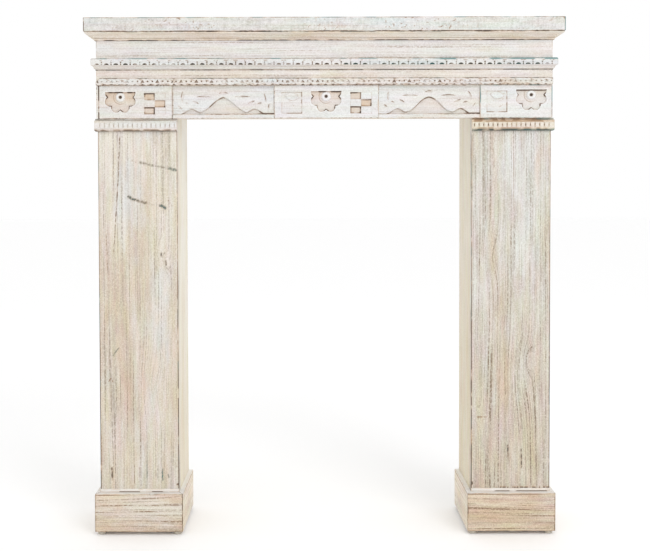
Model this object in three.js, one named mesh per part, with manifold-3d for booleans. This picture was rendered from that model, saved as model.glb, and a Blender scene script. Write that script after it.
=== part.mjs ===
// A carved wooden fireplace mantelpiece: a shelf and a carved frieze on two box legs, open at the back.
// Millimetres, +Z up, the front faces -Y, and the origin lies on the floor under the middle of the shelf.

import * as THREE from "three";
import { mergeVertices } from "three/addons/utils/BufferGeometryUtils.js";
import ManifoldModule from "manifold-3d";

// Overall sizes
const SHELF_WIDTH = 1100;
const SHELF_DEPTH = 222;
const BODY_WIDTH = 1052; // over the outer faces of the legs
const LEG_WIDTH = 184;
const LEG_DEPTH = 184;
const BOARD = 18; // thickness of every plain board
const FACING = 14; // thickness of what is applied in front of the legs' plane

// Heights of the courses, from the floor up
const GLIDE_HEIGHT = 8;
const PLINTH_HEIGHT = 89;
const FOOT_FILLET_HEIGHT = 7;
const SHAFT_TOP = 940;
const CAPITAL_HEIGHT = 29;
const RAIL_HEIGHT = 9.7;
const BLOCK_HEIGHT = 76;
const LEAF_STRIP_HEIGHT = 16;
const BAND_HEIGHT = 18.5;
const EGG_MOULDING_HEIGHT = 26.5;
const FRIEZE_HEIGHT = 41.5;
const CROWN_HEIGHT = 17.5;
const SHELF_HEIGHT = 32.5;

// Widths along the carved row, from the left end; the right block takes what is left
const LEFT_BLOCK_WIDTH = 175.5;
const PANEL_WIDTH = 235.2;
const CENTRE_BLOCK_WIDTH = 239.6;
const LEAF_JOINT_X = -346; // where the two lengths of the leaf strip meet

// Projections, setbacks and small sizes
const EDGE = 1.6; // eased edge of the shelf
const MITRE_GAP = 0.4;
const CROWN_REACH = 22;
const EGG_REACH = 10.5;
const LEAF_REACH = 6;
const PANEL_SETBACK = 4;
const RAIL_SETBACK = 2;
const CAPITAL_REACH = 7;
const FOOT_FILLET_REACH = 4;
const PLINTH_FRONT_REACH = 18;
const PLINTH_OUTER_REACH = 10;
const PLINTH_INNER_REACH = 11;
const GLIDE_RADIUS = 10;
const GLIDE_INSET = 14; // of a glide's centre from the faces of the plinth
const CLEARANCE = 1; // how far a cutter stands out in front of what it cuts

// Planes and levels that follow from the sizes above
const BACK = SHELF_DEPTH / 2;
const LEG_FRONT = BACK - LEG_DEPTH;
const FACE = LEG_FRONT - FACING;
const BODY_HALF = BODY_WIDTH / 2;
const LEG_INNER = BODY_HALF - LEG_WIDTH;
const PLINTH_TOP = GLIDE_HEIGHT + PLINTH_HEIGHT;
const LINTEL_BOTTOM = SHAFT_TOP + CAPITAL_HEIGHT;
const RAIL_TOP = LINTEL_BOTTOM + RAIL_HEIGHT;
const BLOCK_TOP = LINTEL_BOTTOM + BLOCK_HEIGHT;
const LEAF_TOP = BLOCK_TOP + LEAF_STRIP_HEIGHT;
const EGG_BOTTOM = LEAF_TOP + BAND_HEIGHT;
const EGG_TOP = EGG_BOTTOM + EGG_MOULDING_HEIGHT;
const CROWN_BOTTOM = EGG_TOP + FRIEZE_HEIGHT;
const SHELF_BOTTOM = CROWN_BOTTOM + CROWN_HEIGHT;
const BOARD_JOINT = EGG_BOTTOM + EGG_MOULDING_HEIGHT / 2; // between band and frieze, behind the egg moulding

// Paint colours
const WHITEWASH = 0xebe5dc;
const CREAM = 0xe5dac7;
const YELLOWED = 0xdfd3b9;
const GLIDE_GREY = 0x8f8a80;

const kernel = await ManifoldModule();
kernel.setup();

const mantel = new THREE.Group();
mantel.name = "mantelpiece";

function addPiece(name, geometry, color, roughness = 0.85) {
  const mesh = new THREE.Mesh(geometry, new THREE.MeshStandardMaterial({ color, roughness, metalness: 0 }));
  mesh.name = name;
  mantel.add(mesh);
}

// Booleans: a geometry becomes a solid, is joined or cut, and comes back as a geometry.
function toSolid(geometry) {
  const bare = new THREE.BufferGeometry();
  const loose = geometry.index ? geometry.toNonIndexed() : geometry;
  bare.setAttribute("position", loose.getAttribute("position"));
  const merged = mergeVertices(bare, 1e-3);
  return new kernel.Manifold(
    new kernel.Mesh({
      numProp: 3,
      vertProperties: new Float32Array(merged.getAttribute("position").array),
      triVerts: new Uint32Array(merged.index.array),
    }),
  );
}

function toGeometry(solid) {
  const mesh = solid.getMesh();
  const geometry = new THREE.BufferGeometry();
  geometry.setAttribute("position", new THREE.BufferAttribute(mesh.vertProperties, 3));
  geometry.setIndex(new THREE.BufferAttribute(mesh.triVerts, 1));
  return geometry;
}

const join = (...bodies) => toGeometry(kernel.Manifold.union(bodies.map(toSolid)));
const cut = (body, ...tools) => toGeometry(kernel.Manifold.difference([body, ...tools].map(toSolid)));

// Points and outlines
const at = (x, y) => new THREE.Vector2(x, y);

function rectangle(left, right, low, high) {
  return [at(left, low), at(right, low), at(right, high), at(left, high)];
}

// A triangle on a level base, its point up or, with a height below zero, down
function triangle(x, base, width, height) {
  const corners = [at(x - width / 2, base), at(x + width / 2, base), at(x, base + height)];
  return height > 0 ? corners : corners.reverse();
}

function polar(centre, radius, degrees) {
  const turn = THREE.MathUtils.degToRad(degrees);
  return at(centre.x + radius * Math.cos(turn), centre.y + radius * Math.sin(turn));
}

// Points along an arc, both ends included
function arc(centre, radius, from, to, steps) {
  return Array.from({ length: steps + 1 }, (_, i) => polar(centre, radius, from + ((to - from) * i) / steps));
}

// A pointed oval about a centre, its long way turned by an angle in degrees
function almond(x, y, length, width, degrees = 0) {
  const steps = 6;
  const outline = Array.from({ length: steps }, (_, i) => {
    const along = Math.cos((i / steps) * 2 * Math.PI);
    const across = Math.sign(Math.sin((i / steps) * 2 * Math.PI)) * (1 - along * along);
    return at((along * length) / 2, (across * width) / 2);
  });
  const turn = THREE.MathUtils.degToRad(degrees);
  return outline.map((point) => point.rotateAround(at(0, 0), turn).add(at(x, y)));
}

// Plain forms
function box(x0, x1, y0, y1, z0, z1) {
  const geometry = new THREE.BoxGeometry(x1 - x0, y1 - y0, z1 - z0);
  return geometry.translate((x0 + x1) / 2, (y0 + y1) / 2, (z0 + z1) / 2);
}

// An outline in X and Z, from its front plane to its back plane
function frontSlab(shape, front, back) {
  const geometry = new THREE.ExtrudeGeometry(shape, { depth: back - front, bevelEnabled: false });
  return geometry.rotateX(Math.PI / 2).translate(0, back, 0);
}

// An outline in Y and Z, from one plane in X to the next
function sideSlab(shape, x0, x1) {
  const geometry = new THREE.ExtrudeGeometry(shape, { depth: x1 - x0, bevelEnabled: false });
  const [alongX, alongY, alongZ] = [0, 1, 2].map((axis) => new THREE.Vector3().setComponent(axis, 1));
  return geometry.applyMatrix4(new THREE.Matrix4().makeBasis(alongY, alongZ, alongX)).translate(x0, 0, 0);
}

// Cutters for carving: they start a little way out from the face, and reach down to their depth behind it.
function frontCutter(outline, depth, face) {
  return frontSlab(new THREE.Shape(outline), face - CLEARANCE, face + depth);
}

function sideCutter(outline, depth, face, side) {
  const [out, inside] = [face + side * CLEARANCE, face - side * depth];
  return sideSlab(new THREE.Shape(outline), Math.min(out, inside), Math.max(out, inside));
}

// An outline in X and Y, from one level to the next
function flatSlab(points, bottom, top) {
  const settings = { depth: top - bottom, bevelEnabled: false };
  return new THREE.ExtrudeGeometry(new THREE.Shape(points), settings).translate(0, 0, bottom);
}

// Mouldings: a profile of reach and height, swept between two ends. The place function says where a point
// of the profile lies at either end, so that a mitred end slants with its reach.
function sweep(profile, place) {
  const shape = new THREE.Shape(profile.map(([reach, height]) => at(reach, height)));
  const geometry = new THREE.ExtrudeGeometry(shape, { depth: 1, bevelEnabled: false });
  const position = geometry.getAttribute("position");
  for (let i = 0; i < position.count; i += 1) {
    const [x, y] = place(position.getX(i), position.getZ(i) > 0.5);
    position.setXYZ(i, x, y, position.getY(i));
  }
  return geometry;
}

// Along the front from one X to another, each end mitred or square
function frontRun(profile, plane, left, right, leftMitred = true, rightMitred = true) {
  const leftEnd = (reach) => left - (leftMitred ? reach - MITRE_GAP / 2 : 0);
  const rightEnd = (reach) => right + (rightMitred ? reach - MITRE_GAP / 2 : 0);
  return sweep(profile, (reach, far) => [far ? leftEnd(reach) : rightEnd(reach), plane - reach]);
}

// Along the left (-1) or right (+1) side, from its mitre at the front to the back
function sideRun(profile, side, plane, half) {
  const frontEnd = (reach) => plane - reach + MITRE_GAP / 2;
  return sweep(profile, (reach, far) => [side * (half + reach), far === side > 0 ? frontEnd(reach) : BACK]);
}

// Shelf: one thick board with eased edges
function shelf() {
  const settings = {
    depth: SHELF_HEIGHT - 2 * EDGE,
    bevelThickness: EDGE,
    bevelSize: EDGE,
    bevelOffset: -EDGE,
    bevelSegments: 1,
  };
  const outline = new THREE.Shape(rectangle(-SHELF_WIDTH / 2, SHELF_WIDTH / 2, -BACK, BACK));
  return new THREE.ExtrudeGeometry(outline, settings).translate(0, 0, SHELF_BOTTOM + EDGE);
}

addPiece("shelf", shelf(), WHITEWASH);

// Crown: a cove with a thin fillet above it and a small round below
const CROWN_FILLET = 3.6;
const CROWN_ROUND = 4;
const CROWN_QUIRK = 1; // depth of the groove between the round and the cove
const COVE_STEPS = 5;

function crownProfile() {
  const roundTop = CROWN_BOTTOM + CROWN_ROUND;
  const foot = { reach: CROWN_ROUND + CROWN_QUIRK, height: roundTop + 2 * CROWN_QUIRK };
  const head = { reach: CROWN_REACH - CROWN_QUIRK, height: SHELF_BOTTOM - CROWN_FILLET };
  const cove = Array.from({ length: COVE_STEPS + 1 }, (_, i) => {
    const turn = (i / COVE_STEPS) * (Math.PI / 2);
    const reach = foot.reach + (head.reach - foot.reach) * (1 - Math.cos(turn));
    return [reach, foot.height + (head.height - foot.height) * Math.sin(turn)];
  });
  return [
    [0, CROWN_BOTTOM],
    [CROWN_ROUND / 2, CROWN_BOTTOM],
    [CROWN_ROUND, CROWN_BOTTOM + CROWN_ROUND / 4],
    [CROWN_ROUND, roundTop],
    [CROWN_ROUND - CROWN_QUIRK, roundTop + CROWN_QUIRK],
    ...cove,
    [CROWN_REACH, head.height],
    [CROWN_REACH, SHELF_BOTTOM],
    [0, SHELF_BOTTOM],
  ];
}

addPiece("crown_front", frontRun(crownProfile(), FACE, -BODY_HALF, BODY_HALF), CREAM);
addPiece("crown_left", sideRun(crownProfile(), -1, FACE, BODY_HALF), CREAM);
addPiece("crown_right", sideRun(crownProfile(), 1, FACE, BODY_HALF), CREAM);

// Frieze and band: two plain boards, one above the other
addPiece("frieze_board", box(-BODY_HALF, BODY_HALF, FACE, LEG_FRONT, BOARD_JOINT, SHELF_BOTTOM), WHITEWASH);
addPiece("band_board", box(-BODY_HALF, BODY_HALF, FACE, LEG_FRONT, BLOCK_TOP, BOARD_JOINT), CREAM);

// Egg moulding: a row of small arches with darts between them, above a wave moulding
const EGG_CARVING = 3; // depth of the carved row
const EGG_HEAD_STEP = 1.5; // how far the thin line above the row lies back
const EGG_PITCH = 22;
const EGG_ROW_FOOT = EGG_BOTTOM + 10.8;
const EGG_ROW_HEAD = EGG_TOP - 1.4;
const EGG_SILL = EGG_ROW_FOOT + 0.3; // springing line of the arches
const EGG_RADIUS = 5;
const EGG_ENDS = 15; // degrees above the sill where an arch ends
const EGG_CORE_RADIUS = 3.6;
const EGG_CORE_ENDS = 35;
const EGG_CORE_DROP = 1.8; // lowers the inner arc, so that the cut is widest over the top of the arch
const DART_WIDTH = 4.6;
const DART_HEIGHT = 6.4;
const DART_TOP = EGG_SILL + EGG_RADIUS + 2.6;
const WAVE_FOOT = EGG_BOTTOM + 1.6;
const WAVE_HEAD = EGG_ROW_FOOT - 1;
const WAVE_STEPS = 5;
const WAVE_SWELL = 0.9;
const WAVE_FOOT_REACH = 1.2;

function eggProfile() {
  const waveHead = EGG_REACH - EGG_CARVING + 1;
  const wave = Array.from({ length: WAVE_STEPS + 1 }, (_, i) => {
    const share = i / WAVE_STEPS;
    const reach = WAVE_FOOT_REACH + (waveHead - WAVE_FOOT_REACH) * share;
    return [reach + WAVE_SWELL * Math.sin(share * 2 * Math.PI), WAVE_FOOT + (WAVE_HEAD - WAVE_FOOT) * share];
  });
  return [
    [0, EGG_BOTTOM],
    [WAVE_FOOT_REACH, EGG_BOTTOM],
    ...wave,
    [EGG_REACH, EGG_ROW_FOOT],
    [EGG_REACH, EGG_ROW_HEAD],
    [EGG_REACH - EGG_HEAD_STEP, EGG_ROW_HEAD],
    [EGG_REACH - EGG_HEAD_STEP, EGG_TOP],
    [0, EGG_TOP],
  ];
}

// One arch and the dart beside it, as two outlines
function eggMarks(x) {
  const outer = arc(at(x, EGG_SILL), EGG_RADIUS, 180 - EGG_ENDS, EGG_ENDS, 4);
  const core = at(x, EGG_SILL - EGG_CORE_DROP);
  const inner = arc(core, EGG_CORE_RADIUS, EGG_CORE_ENDS, 180 - EGG_CORE_ENDS, 2);
  return [[...outer, ...inner], triangle(x + EGG_PITCH / 2, DART_TOP, DART_WIDTH, -DART_HEIGHT)];
}

// The outlines of a row between two ends, with whole arches only
function eggRow(low, high) {
  const count = Math.floor((high - low) / EGG_PITCH - 0.5);
  const start = (low + high - (count - 0.5) * EGG_PITCH) / 2;
  return Array.from({ length: count }, (_, i) => eggMarks(start + i * EGG_PITCH)).flat();
}

function eggFront() {
  const end = BODY_HALF + EGG_REACH;
  const tools = eggRow(-end, end).map((outline) => frontCutter(outline, EGG_CARVING, FACE - EGG_REACH));
  return cut(frontRun(eggProfile(), FACE, -BODY_HALF, BODY_HALF), ...tools);
}

function eggReturn(side) {
  const face = side * (BODY_HALF + EGG_REACH);
  const tools = eggRow(FACE - EGG_REACH, BACK).map((outline) => sideCutter(outline, EGG_CARVING, face, side));
  return cut(sideRun(eggProfile(), side, FACE, BODY_HALF), ...tools);
}

addPiece("egg_moulding_front", eggFront(), WHITEWASH);
addPiece("egg_moulding_left", eggReturn(-1), WHITEWASH);
addPiece("egg_moulding_right", eggReturn(1), WHITEWASH);

// Leaf strip: triangular chips with two drilled dots between them, over a scalloped lower edge
const LEAF_PITCH = 35;
const LEAF_CARVING = 3;
const LEAF_CHIP_WIDTH = 8.5;
const LEAF_CHIP_HEIGHT = 6.8;
const LEAF_CHIP_FOOT = BLOCK_TOP + 5.6;
const DOT_RADIUS = 1.7;
const DOT_HEIGHT = BLOCK_TOP + 8.6;
const SCALLOP_NOTCH = 2.6; // height of the notches between the scallops
const LEAF_MARGIN = 2; // least distance of a mark from the end of a strip
const CUT_CORNER = 9; // the upper left corner of the strip is cut off aslant

// One triangular chip and the two dots beside it, as three outlines
function leafMarks(x) {
  const dotPlaces = [x + LEAF_PITCH / 3, x + (2 * LEAF_PITCH) / 3];
  const dots = dotPlaces.map((place) => arc(at(place, DOT_HEIGHT), DOT_RADIUS, 45, 315, 3));
  return [triangle(x, LEAF_CHIP_FOOT, LEAF_CHIP_WIDTH, LEAF_CHIP_HEIGHT), ...dots];
}

function leafStrip(left, right) {
  const face = FACE - LEAF_REACH;
  const lobes = Math.round(((right - left) / LEAF_PITCH) * 2);
  const lobe = (right - left) / lobes;
  const notch = (_, i) => triangle(left + i * lobe, BLOCK_TOP, lobe / 2, SCALLOP_NOTCH);
  const notches = Array.from({ length: lobes + 1 }, notch);
  const marks = Math.ceil((right - left) / LEAF_PITCH);
  const start = (left + right - (marks - 1) * LEAF_PITCH) / 2;
  const inside = (outline) => outline.every(({ x }) => x > left + LEAF_MARGIN && x < right - LEAF_MARGIN);
  const holes = Array.from({ length: marks }, (_, i) => leafMarks(start + i * LEAF_PITCH)).flat();
  const cutOut = (outline) => frontCutter(outline, LEAF_CARVING, face);
  const tools = [...notches, ...holes.filter(inside)].map(cutOut);
  return cut(box(left, right, face, FACE, BLOCK_TOP, LEAF_TOP), ...tools);
}

function cutCorner(strip, left) {
  const reach = CUT_CORNER + 2 * CLEARANCE;
  const [x, z] = [left - CLEARANCE, LEAF_TOP + CLEARANCE];
  const outline = [at(x, z - reach), at(x + reach, z), at(x, z)];
  return cut(strip, frontCutter(outline, LEAF_REACH + CLEARANCE, FACE - LEAF_REACH));
}

const leftStrip = cutCorner(leafStrip(-BODY_HALF, LEAF_JOINT_X - MITRE_GAP / 2), -BODY_HALF);
addPiece("leaf_strip_left", leftStrip, CREAM);
addPiece("leaf_strip_right", leafStrip(LEAF_JOINT_X + MITRE_GAP / 2, BODY_HALF), CREAM);

// Carved blocks: half flowers, chequers and small squares, cut into the front
const DEEP = 4;
const CHEQUER_DEPTH = 3;
const SHALLOW = 1.8;

// A half flower hangs from a flat top, its petals bulging between cusps that point inwards
const PETAL_ANGLE = 45;
const PETAL_STEPS = 4;
const CUSP_RADIUS = 30;
const PETAL_BULGE = 7.5;
const FLOWER_TOP_ANGLE = 18; // of the two top corners above the level of the centre
// Radius and height above the recess: a round boss with a hole, on a low disc
const BOSS_PROFILE = [[3.7, -1], [3.7, 2.2], [5.2, 3.6], [8.6, 3.4], [10.6, 1.4], [15.5, 1.1], [15.5, -1]];
const BOSS_SEGMENTS = 16;
const LEFT_FLOWER = at(-471, 1018.2);
const CENTRE_FLOWER = at(4, 1019.2);
const RIGHT_FLOWER = at(477.5, 1021.7);

// Two columns of three cells, of which three are sunk
const CELL_WIDTH = 24.4;
const CELL_HEIGHT = 16.2;
const CELL_RIDGE = 0.4; // of wood left between neighbouring cells, on each side
const SUNK_CELLS = [[0, 0], [1, 1], [0, 2]];
const LEFT_CHEQUER = at(-416, 978.7); // lower left corners
const CENTRE_CHEQUER = at(60, 979.8);

// A sunk square with a pointed oval left standing in its upper half
const SQUARE_WIDTH = 47.5;
const SQUARE_HEIGHT = 49.5;
const OVAL = { x: 24, z: 39, length: 31, width: 16, turn: -8 };
const CENTRE_SQUARE = at(-99, 979.5); // lower left corners
const RIGHT_SQUARE = at(374.5, 982);

// Two small chips under the left flower
const CHIPS = [at(-508, 981), at(-433, 984)];
const CHIP_SIZE = 4;

function flower(centre) {
  const rim = (degrees) => {
    const bulge = Math.abs(Math.sin((degrees * Math.PI) / PETAL_ANGLE));
    return polar(centre, CUSP_RADIUS + PETAL_BULGE * bulge, degrees);
  };
  const count = (180 / PETAL_ANGLE) * PETAL_STEPS;
  const lower = Array.from({ length: count + 1 }, (_, i) => -180 + (i * PETAL_ANGLE) / PETAL_STEPS);
  const leftCorner = [-180 - FLOWER_TOP_ANGLE, -180 - FLOWER_TOP_ANGLE / 2];
  const rightCorner = [FLOWER_TOP_ANGLE / 2, FLOWER_TOP_ANGLE];
  return frontCutter([...leftCorner, ...lower, ...rightCorner].map(rim), DEEP, FACE);
}

function boss(centre) {
  const profile = [...BOSS_PROFILE, BOSS_PROFILE[0]].map(([radius, height]) => at(radius, height));
  const ring = new THREE.LatheGeometry(profile.reverse(), BOSS_SEGMENTS);
  return ring.rotateX(Math.PI).translate(centre.x, FACE + DEEP, centre.y);
}

function chequer(corner) {
  return SUNK_CELLS.map(([column, row]) => {
    const left = corner.x + column * CELL_WIDTH + CELL_RIDGE;
    const low = corner.y + row * CELL_HEIGHT + CELL_RIDGE;
    const cell = rectangle(left, left + CELL_WIDTH - 2 * CELL_RIDGE, low, low + CELL_HEIGHT - 2 * CELL_RIDGE);
    return frontCutter(cell, CHEQUER_DEPTH, FACE);
  });
}

function smallSquare(corner) {
  const outline = rectangle(corner.x, corner.x + SQUARE_WIDTH, corner.y, corner.y + SQUARE_HEIGHT);
  const oval = almond(corner.x + OVAL.x, corner.y + OVAL.z, OVAL.length, OVAL.width, OVAL.turn);
  return cut(frontCutter(outline, SHALLOW, FACE), frontCutter(oval, SHALLOW + CLEARANCE, FACE - CLEARANCE));
}

function block(left, right, flowerCentre, ...tools) {
  const body = box(left, right, FACE, LEG_FRONT, LINTEL_BOTTOM, BLOCK_TOP);
  return join(cut(body, flower(flowerCentre), ...tools), boss(flowerCentre));
}

const leftBlockEnd = -BODY_HALF + LEFT_BLOCK_WIDTH;
const leftPanelEnd = leftBlockEnd + PANEL_WIDTH;
const centreBlockEnd = leftPanelEnd + CENTRE_BLOCK_WIDTH;
const rightPanelEnd = centreBlockEnd + PANEL_WIDTH;
const chips = CHIPS.map(({ x, y }) => frontCutter(triangle(x, y, CHIP_SIZE, CHIP_SIZE), SHALLOW, FACE));
const leftBlock = block(-BODY_HALF, leftBlockEnd, LEFT_FLOWER, ...chequer(LEFT_CHEQUER), ...chips);
const centreCarving = [...chequer(CENTRE_CHEQUER), smallSquare(CENTRE_SQUARE)];
const centreBlock = block(leftPanelEnd, centreBlockEnd, CENTRE_FLOWER, ...centreCarving);

addPiece("block_left", leftBlock, WHITEWASH);
addPiece("block_centre", centreBlock, WHITEWASH);
addPiece("block_right", block(rightPanelEnd, BODY_HALF, RIGHT_FLOWER, smallSquare(RIGHT_SQUARE)), WHITEWASH);

// Panels with three sunk arches, a large one between two small ones, and gouge marks above them
// For each panel: where its middle stands, how far the arches' sides swing from the straight as a share of
// their height, and how much higher the gouge marks lie than on the left panel
const LEFT_ARCHES = { middle: -233.8, swell: 0.06, lift: 0 };
const RIGHT_ARCHES = { middle: 242, swell: 0.09, lift: 2.3 };
const ARCH_STEPS = 6; // points along one side of an arch
// Feet, valleys and peaks, as distances from the arch's middle and from the rail under it
const ARCHES = [[-98, 1], [-72.5, 13], [-53.3, 4.7], [0, 40], [53.3, 4.7], [72.5, 13.3], [98, 1]];
const GOUGE_DEPTH = 2;
const GOUGES = [
  { x: 0.6, z: 48, length: 21, width: 6, turn: 0 },
  { x: -44, z: 40, length: 33, width: 4, turn: 0 },
  { x: 44.5, z: 40, length: 32, width: 4, turn: 0 },
  { x: -64, z: 27.3, length: 16, width: 4.4, turn: -26 },
  { x: 65, z: 27, length: 17, width: 4.4, turn: 22 },
  { x: -84, z: 25, length: 8, width: 3.6, turn: -20 },
  { x: 84, z: 24.5, length: 10, width: 3.6, turn: 15 },
];
const LEFT_PANEL_MARKS = [
  { x: -93.5, z: 40, length: 25, width: 7, turn: 90 },
  { x: -100.5, z: 15.2, length: 13, width: 5, turn: -40 },
  { x: 96, z: 40, length: 22, width: 3.4, turn: -74 },
  { x: 105.5, z: 17.5, length: 12, width: 3.4, turn: 80 },
];
const RIGHT_PANEL_MARKS = [
  { x: 94.6, z: 40.2, length: 22, width: 5, turn: -66 },
  { x: 103.5, z: 17.5, length: 12, width: 3.6, turn: 52 },
  { x: -94, z: 39.5, length: 20, width: 4.5, turn: 88 },
  { x: -101, z: 16, length: 9, width: 4, turn: -30 },
];

// One side of an arch: from one point to the next in a shallow double curve
function ogee([x0, z0], [x1, z1], swell) {
  return Array.from({ length: ARCH_STEPS }, (_, i) => {
    const share = i / ARCH_STEPS;
    const swing = swell * Math.abs(z1 - z0) * Math.sin(share * 2 * Math.PI);
    const sign = z1 > z0 ? -1 : 1;
    return at(x0 + (x1 - x0) * share, z0 + (z1 - z0) * share + sign * swing);
  });
}

function panel(left, right, { middle, swell, lift }, marks) {
  const face = FACE + PANEL_SETBACK;
  const sides = ARCHES.slice(1).map((point, i) => ogee(ARCHES[i], point, swell)).flat();
  const [first, last] = [ARCHES[0], ARCHES[ARCHES.length - 1]];
  const line = [...sides, at(...last)].map((point) => point.add(at(middle, RAIL_TOP)));
  const base = [first, last].map(([x]) => at(middle + x, RAIL_TOP - CLEARANCE));
  const outline = [...base, ...line.reverse()];
  const gouges = [...GOUGES, ...marks].map(({ x, z, length, width, turn }) =>
    frontCutter(almond(middle + x, RAIL_TOP + z + lift, length, width, turn), GOUGE_DEPTH, face),
  );
  const body = box(left, right, face, LEG_FRONT, RAIL_TOP, BLOCK_TOP);
  return cut(body, frontCutter(outline, DEEP, face), ...gouges);
}

addPiece("panel_left", panel(leftBlockEnd, leftPanelEnd, LEFT_ARCHES, LEFT_PANEL_MARKS), WHITEWASH);
addPiece("panel_right", panel(centreBlockEnd, rightPanelEnd, RIGHT_ARCHES, RIGHT_PANEL_MARKS), WHITEWASH);

// Rails under the panels
const rail = (left, right) => box(left, right, FACE + RAIL_SETBACK, LEG_FRONT, LINTEL_BOTTOM, RAIL_TOP);
addPiece("rail_left", rail(leftBlockEnd, leftPanelEnd), WHITEWASH);
addPiece("rail_right", rail(centreBlockEnd, rightPanelEnd), WHITEWASH);

// Lintel: the board behind the frieze that joins the legs
const lintel = box(-BODY_HALF, BODY_HALF, LEG_FRONT, LEG_FRONT + BOARD, LINTEL_BOTTOM, SHELF_BOTTOM);
addPiece("lintel_board", lintel, CREAM);

// Capital of a leg: a row of small tongues between two flat bands
const TONGUE_PITCH = 10.8;
const TONGUE_GAP = 2.2;
const TONGUE_CARVING = 2.4;
const TONGUE_FOOT = SHAFT_TOP + 8.2;
const TONGUE_HEAD = SHAFT_TOP + 18.8;
const CAPITAL_STEP = 2; // the bands step back by this at the foot and head
const CAPITAL_HEAD_HEIGHT = 4; // of the part that steps back under the frieze

const CAPITAL_PROFILE = [
  [0, SHAFT_TOP],
  [CAPITAL_REACH - CAPITAL_STEP, SHAFT_TOP],
  [CAPITAL_REACH, SHAFT_TOP + CAPITAL_STEP],
  [CAPITAL_REACH, LINTEL_BOTTOM - CAPITAL_HEAD_HEIGHT],
  [CAPITAL_REACH - CAPITAL_STEP, LINTEL_BOTTOM - CAPITAL_HEAD_HEIGHT],
  [CAPITAL_REACH - CAPITAL_STEP, LINTEL_BOTTOM],
  [0, LINTEL_BOTTOM],
];

// The gaps between the tongues along a row, as outlines
function tongueGaps(low, high) {
  const count = Math.floor((high - low) / TONGUE_PITCH);
  const start = (low + high - (count - 1) * TONGUE_PITCH) / 2;
  return Array.from({ length: count }, (_, i) => {
    const x = start + i * TONGUE_PITCH;
    return rectangle(x - TONGUE_GAP / 2, x + TONGUE_GAP / 2, TONGUE_FOOT, TONGUE_HEAD);
  });
}

function capitalFront(side) {
  const [left, right] = side < 0 ? [-BODY_HALF, -LEG_INNER] : [LEG_INNER, BODY_HALF];
  const moulding = frontRun(CAPITAL_PROFILE, LEG_FRONT, left, right, side < 0, side > 0);
  const face = LEG_FRONT - CAPITAL_REACH;
  return cut(moulding, ...tongueGaps(left, right).map((gap) => frontCutter(gap, TONGUE_CARVING, face)));
}

function capitalReturn(side) {
  const face = side * (BODY_HALF + CAPITAL_REACH);
  const moulding = sideRun(CAPITAL_PROFILE, side, LEG_FRONT, BODY_HALF);
  const tools = tongueGaps(LEG_FRONT, BACK).map((gap) => sideCutter(gap, TONGUE_CARVING, face, side));
  return cut(moulding, ...tools);
}

// Plinth of a leg: three boards round its foot, mitred at the two front corners
function plinthFront(side) {
  const front = LEG_FRONT - PLINTH_FRONT_REACH;
  const outline = [
    at(side * (BODY_HALF + PLINTH_OUTER_REACH - MITRE_GAP), front),
    at(side * (LEG_INNER - PLINTH_INNER_REACH + MITRE_GAP), front),
    at(side * (LEG_INNER + MITRE_GAP), LEG_FRONT),
    at(side * (BODY_HALF - MITRE_GAP), LEG_FRONT),
  ];
  return flatSlab(outline, GLIDE_HEIGHT, PLINTH_TOP);
}

function plinthSide(face, reach) {
  const outline = [
    at(face + reach, LEG_FRONT - PLINTH_FRONT_REACH),
    at(face + reach, BACK),
    at(face, BACK),
    at(face, LEG_FRONT),
  ];
  return flatSlab(outline, GLIDE_HEIGHT, PLINTH_TOP);
}

// Glide: a low round foot with a softened lower edge
const GLIDE_EDGE = 1.5;
const GLIDE_SEGMENTS = 16;

function glide(x, y) {
  const profile = [
    at(0, 0),
    at(GLIDE_RADIUS - GLIDE_EDGE, 0),
    at(GLIDE_RADIUS, GLIDE_EDGE),
    at(GLIDE_RADIUS, GLIDE_HEIGHT),
    at(0, GLIDE_HEIGHT),
  ];
  return new THREE.LatheGeometry(profile, GLIDE_SEGMENTS).rotateX(Math.PI / 2).translate(x, y, 0);
}

// A plain board between two distances from the middle, on the left or right side
function sideBoard(side, near, far, front, back, bottom, top) {
  return box(Math.min(side * near, side * far), Math.max(side * near, side * far), front, back, bottom, top);
}

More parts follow.
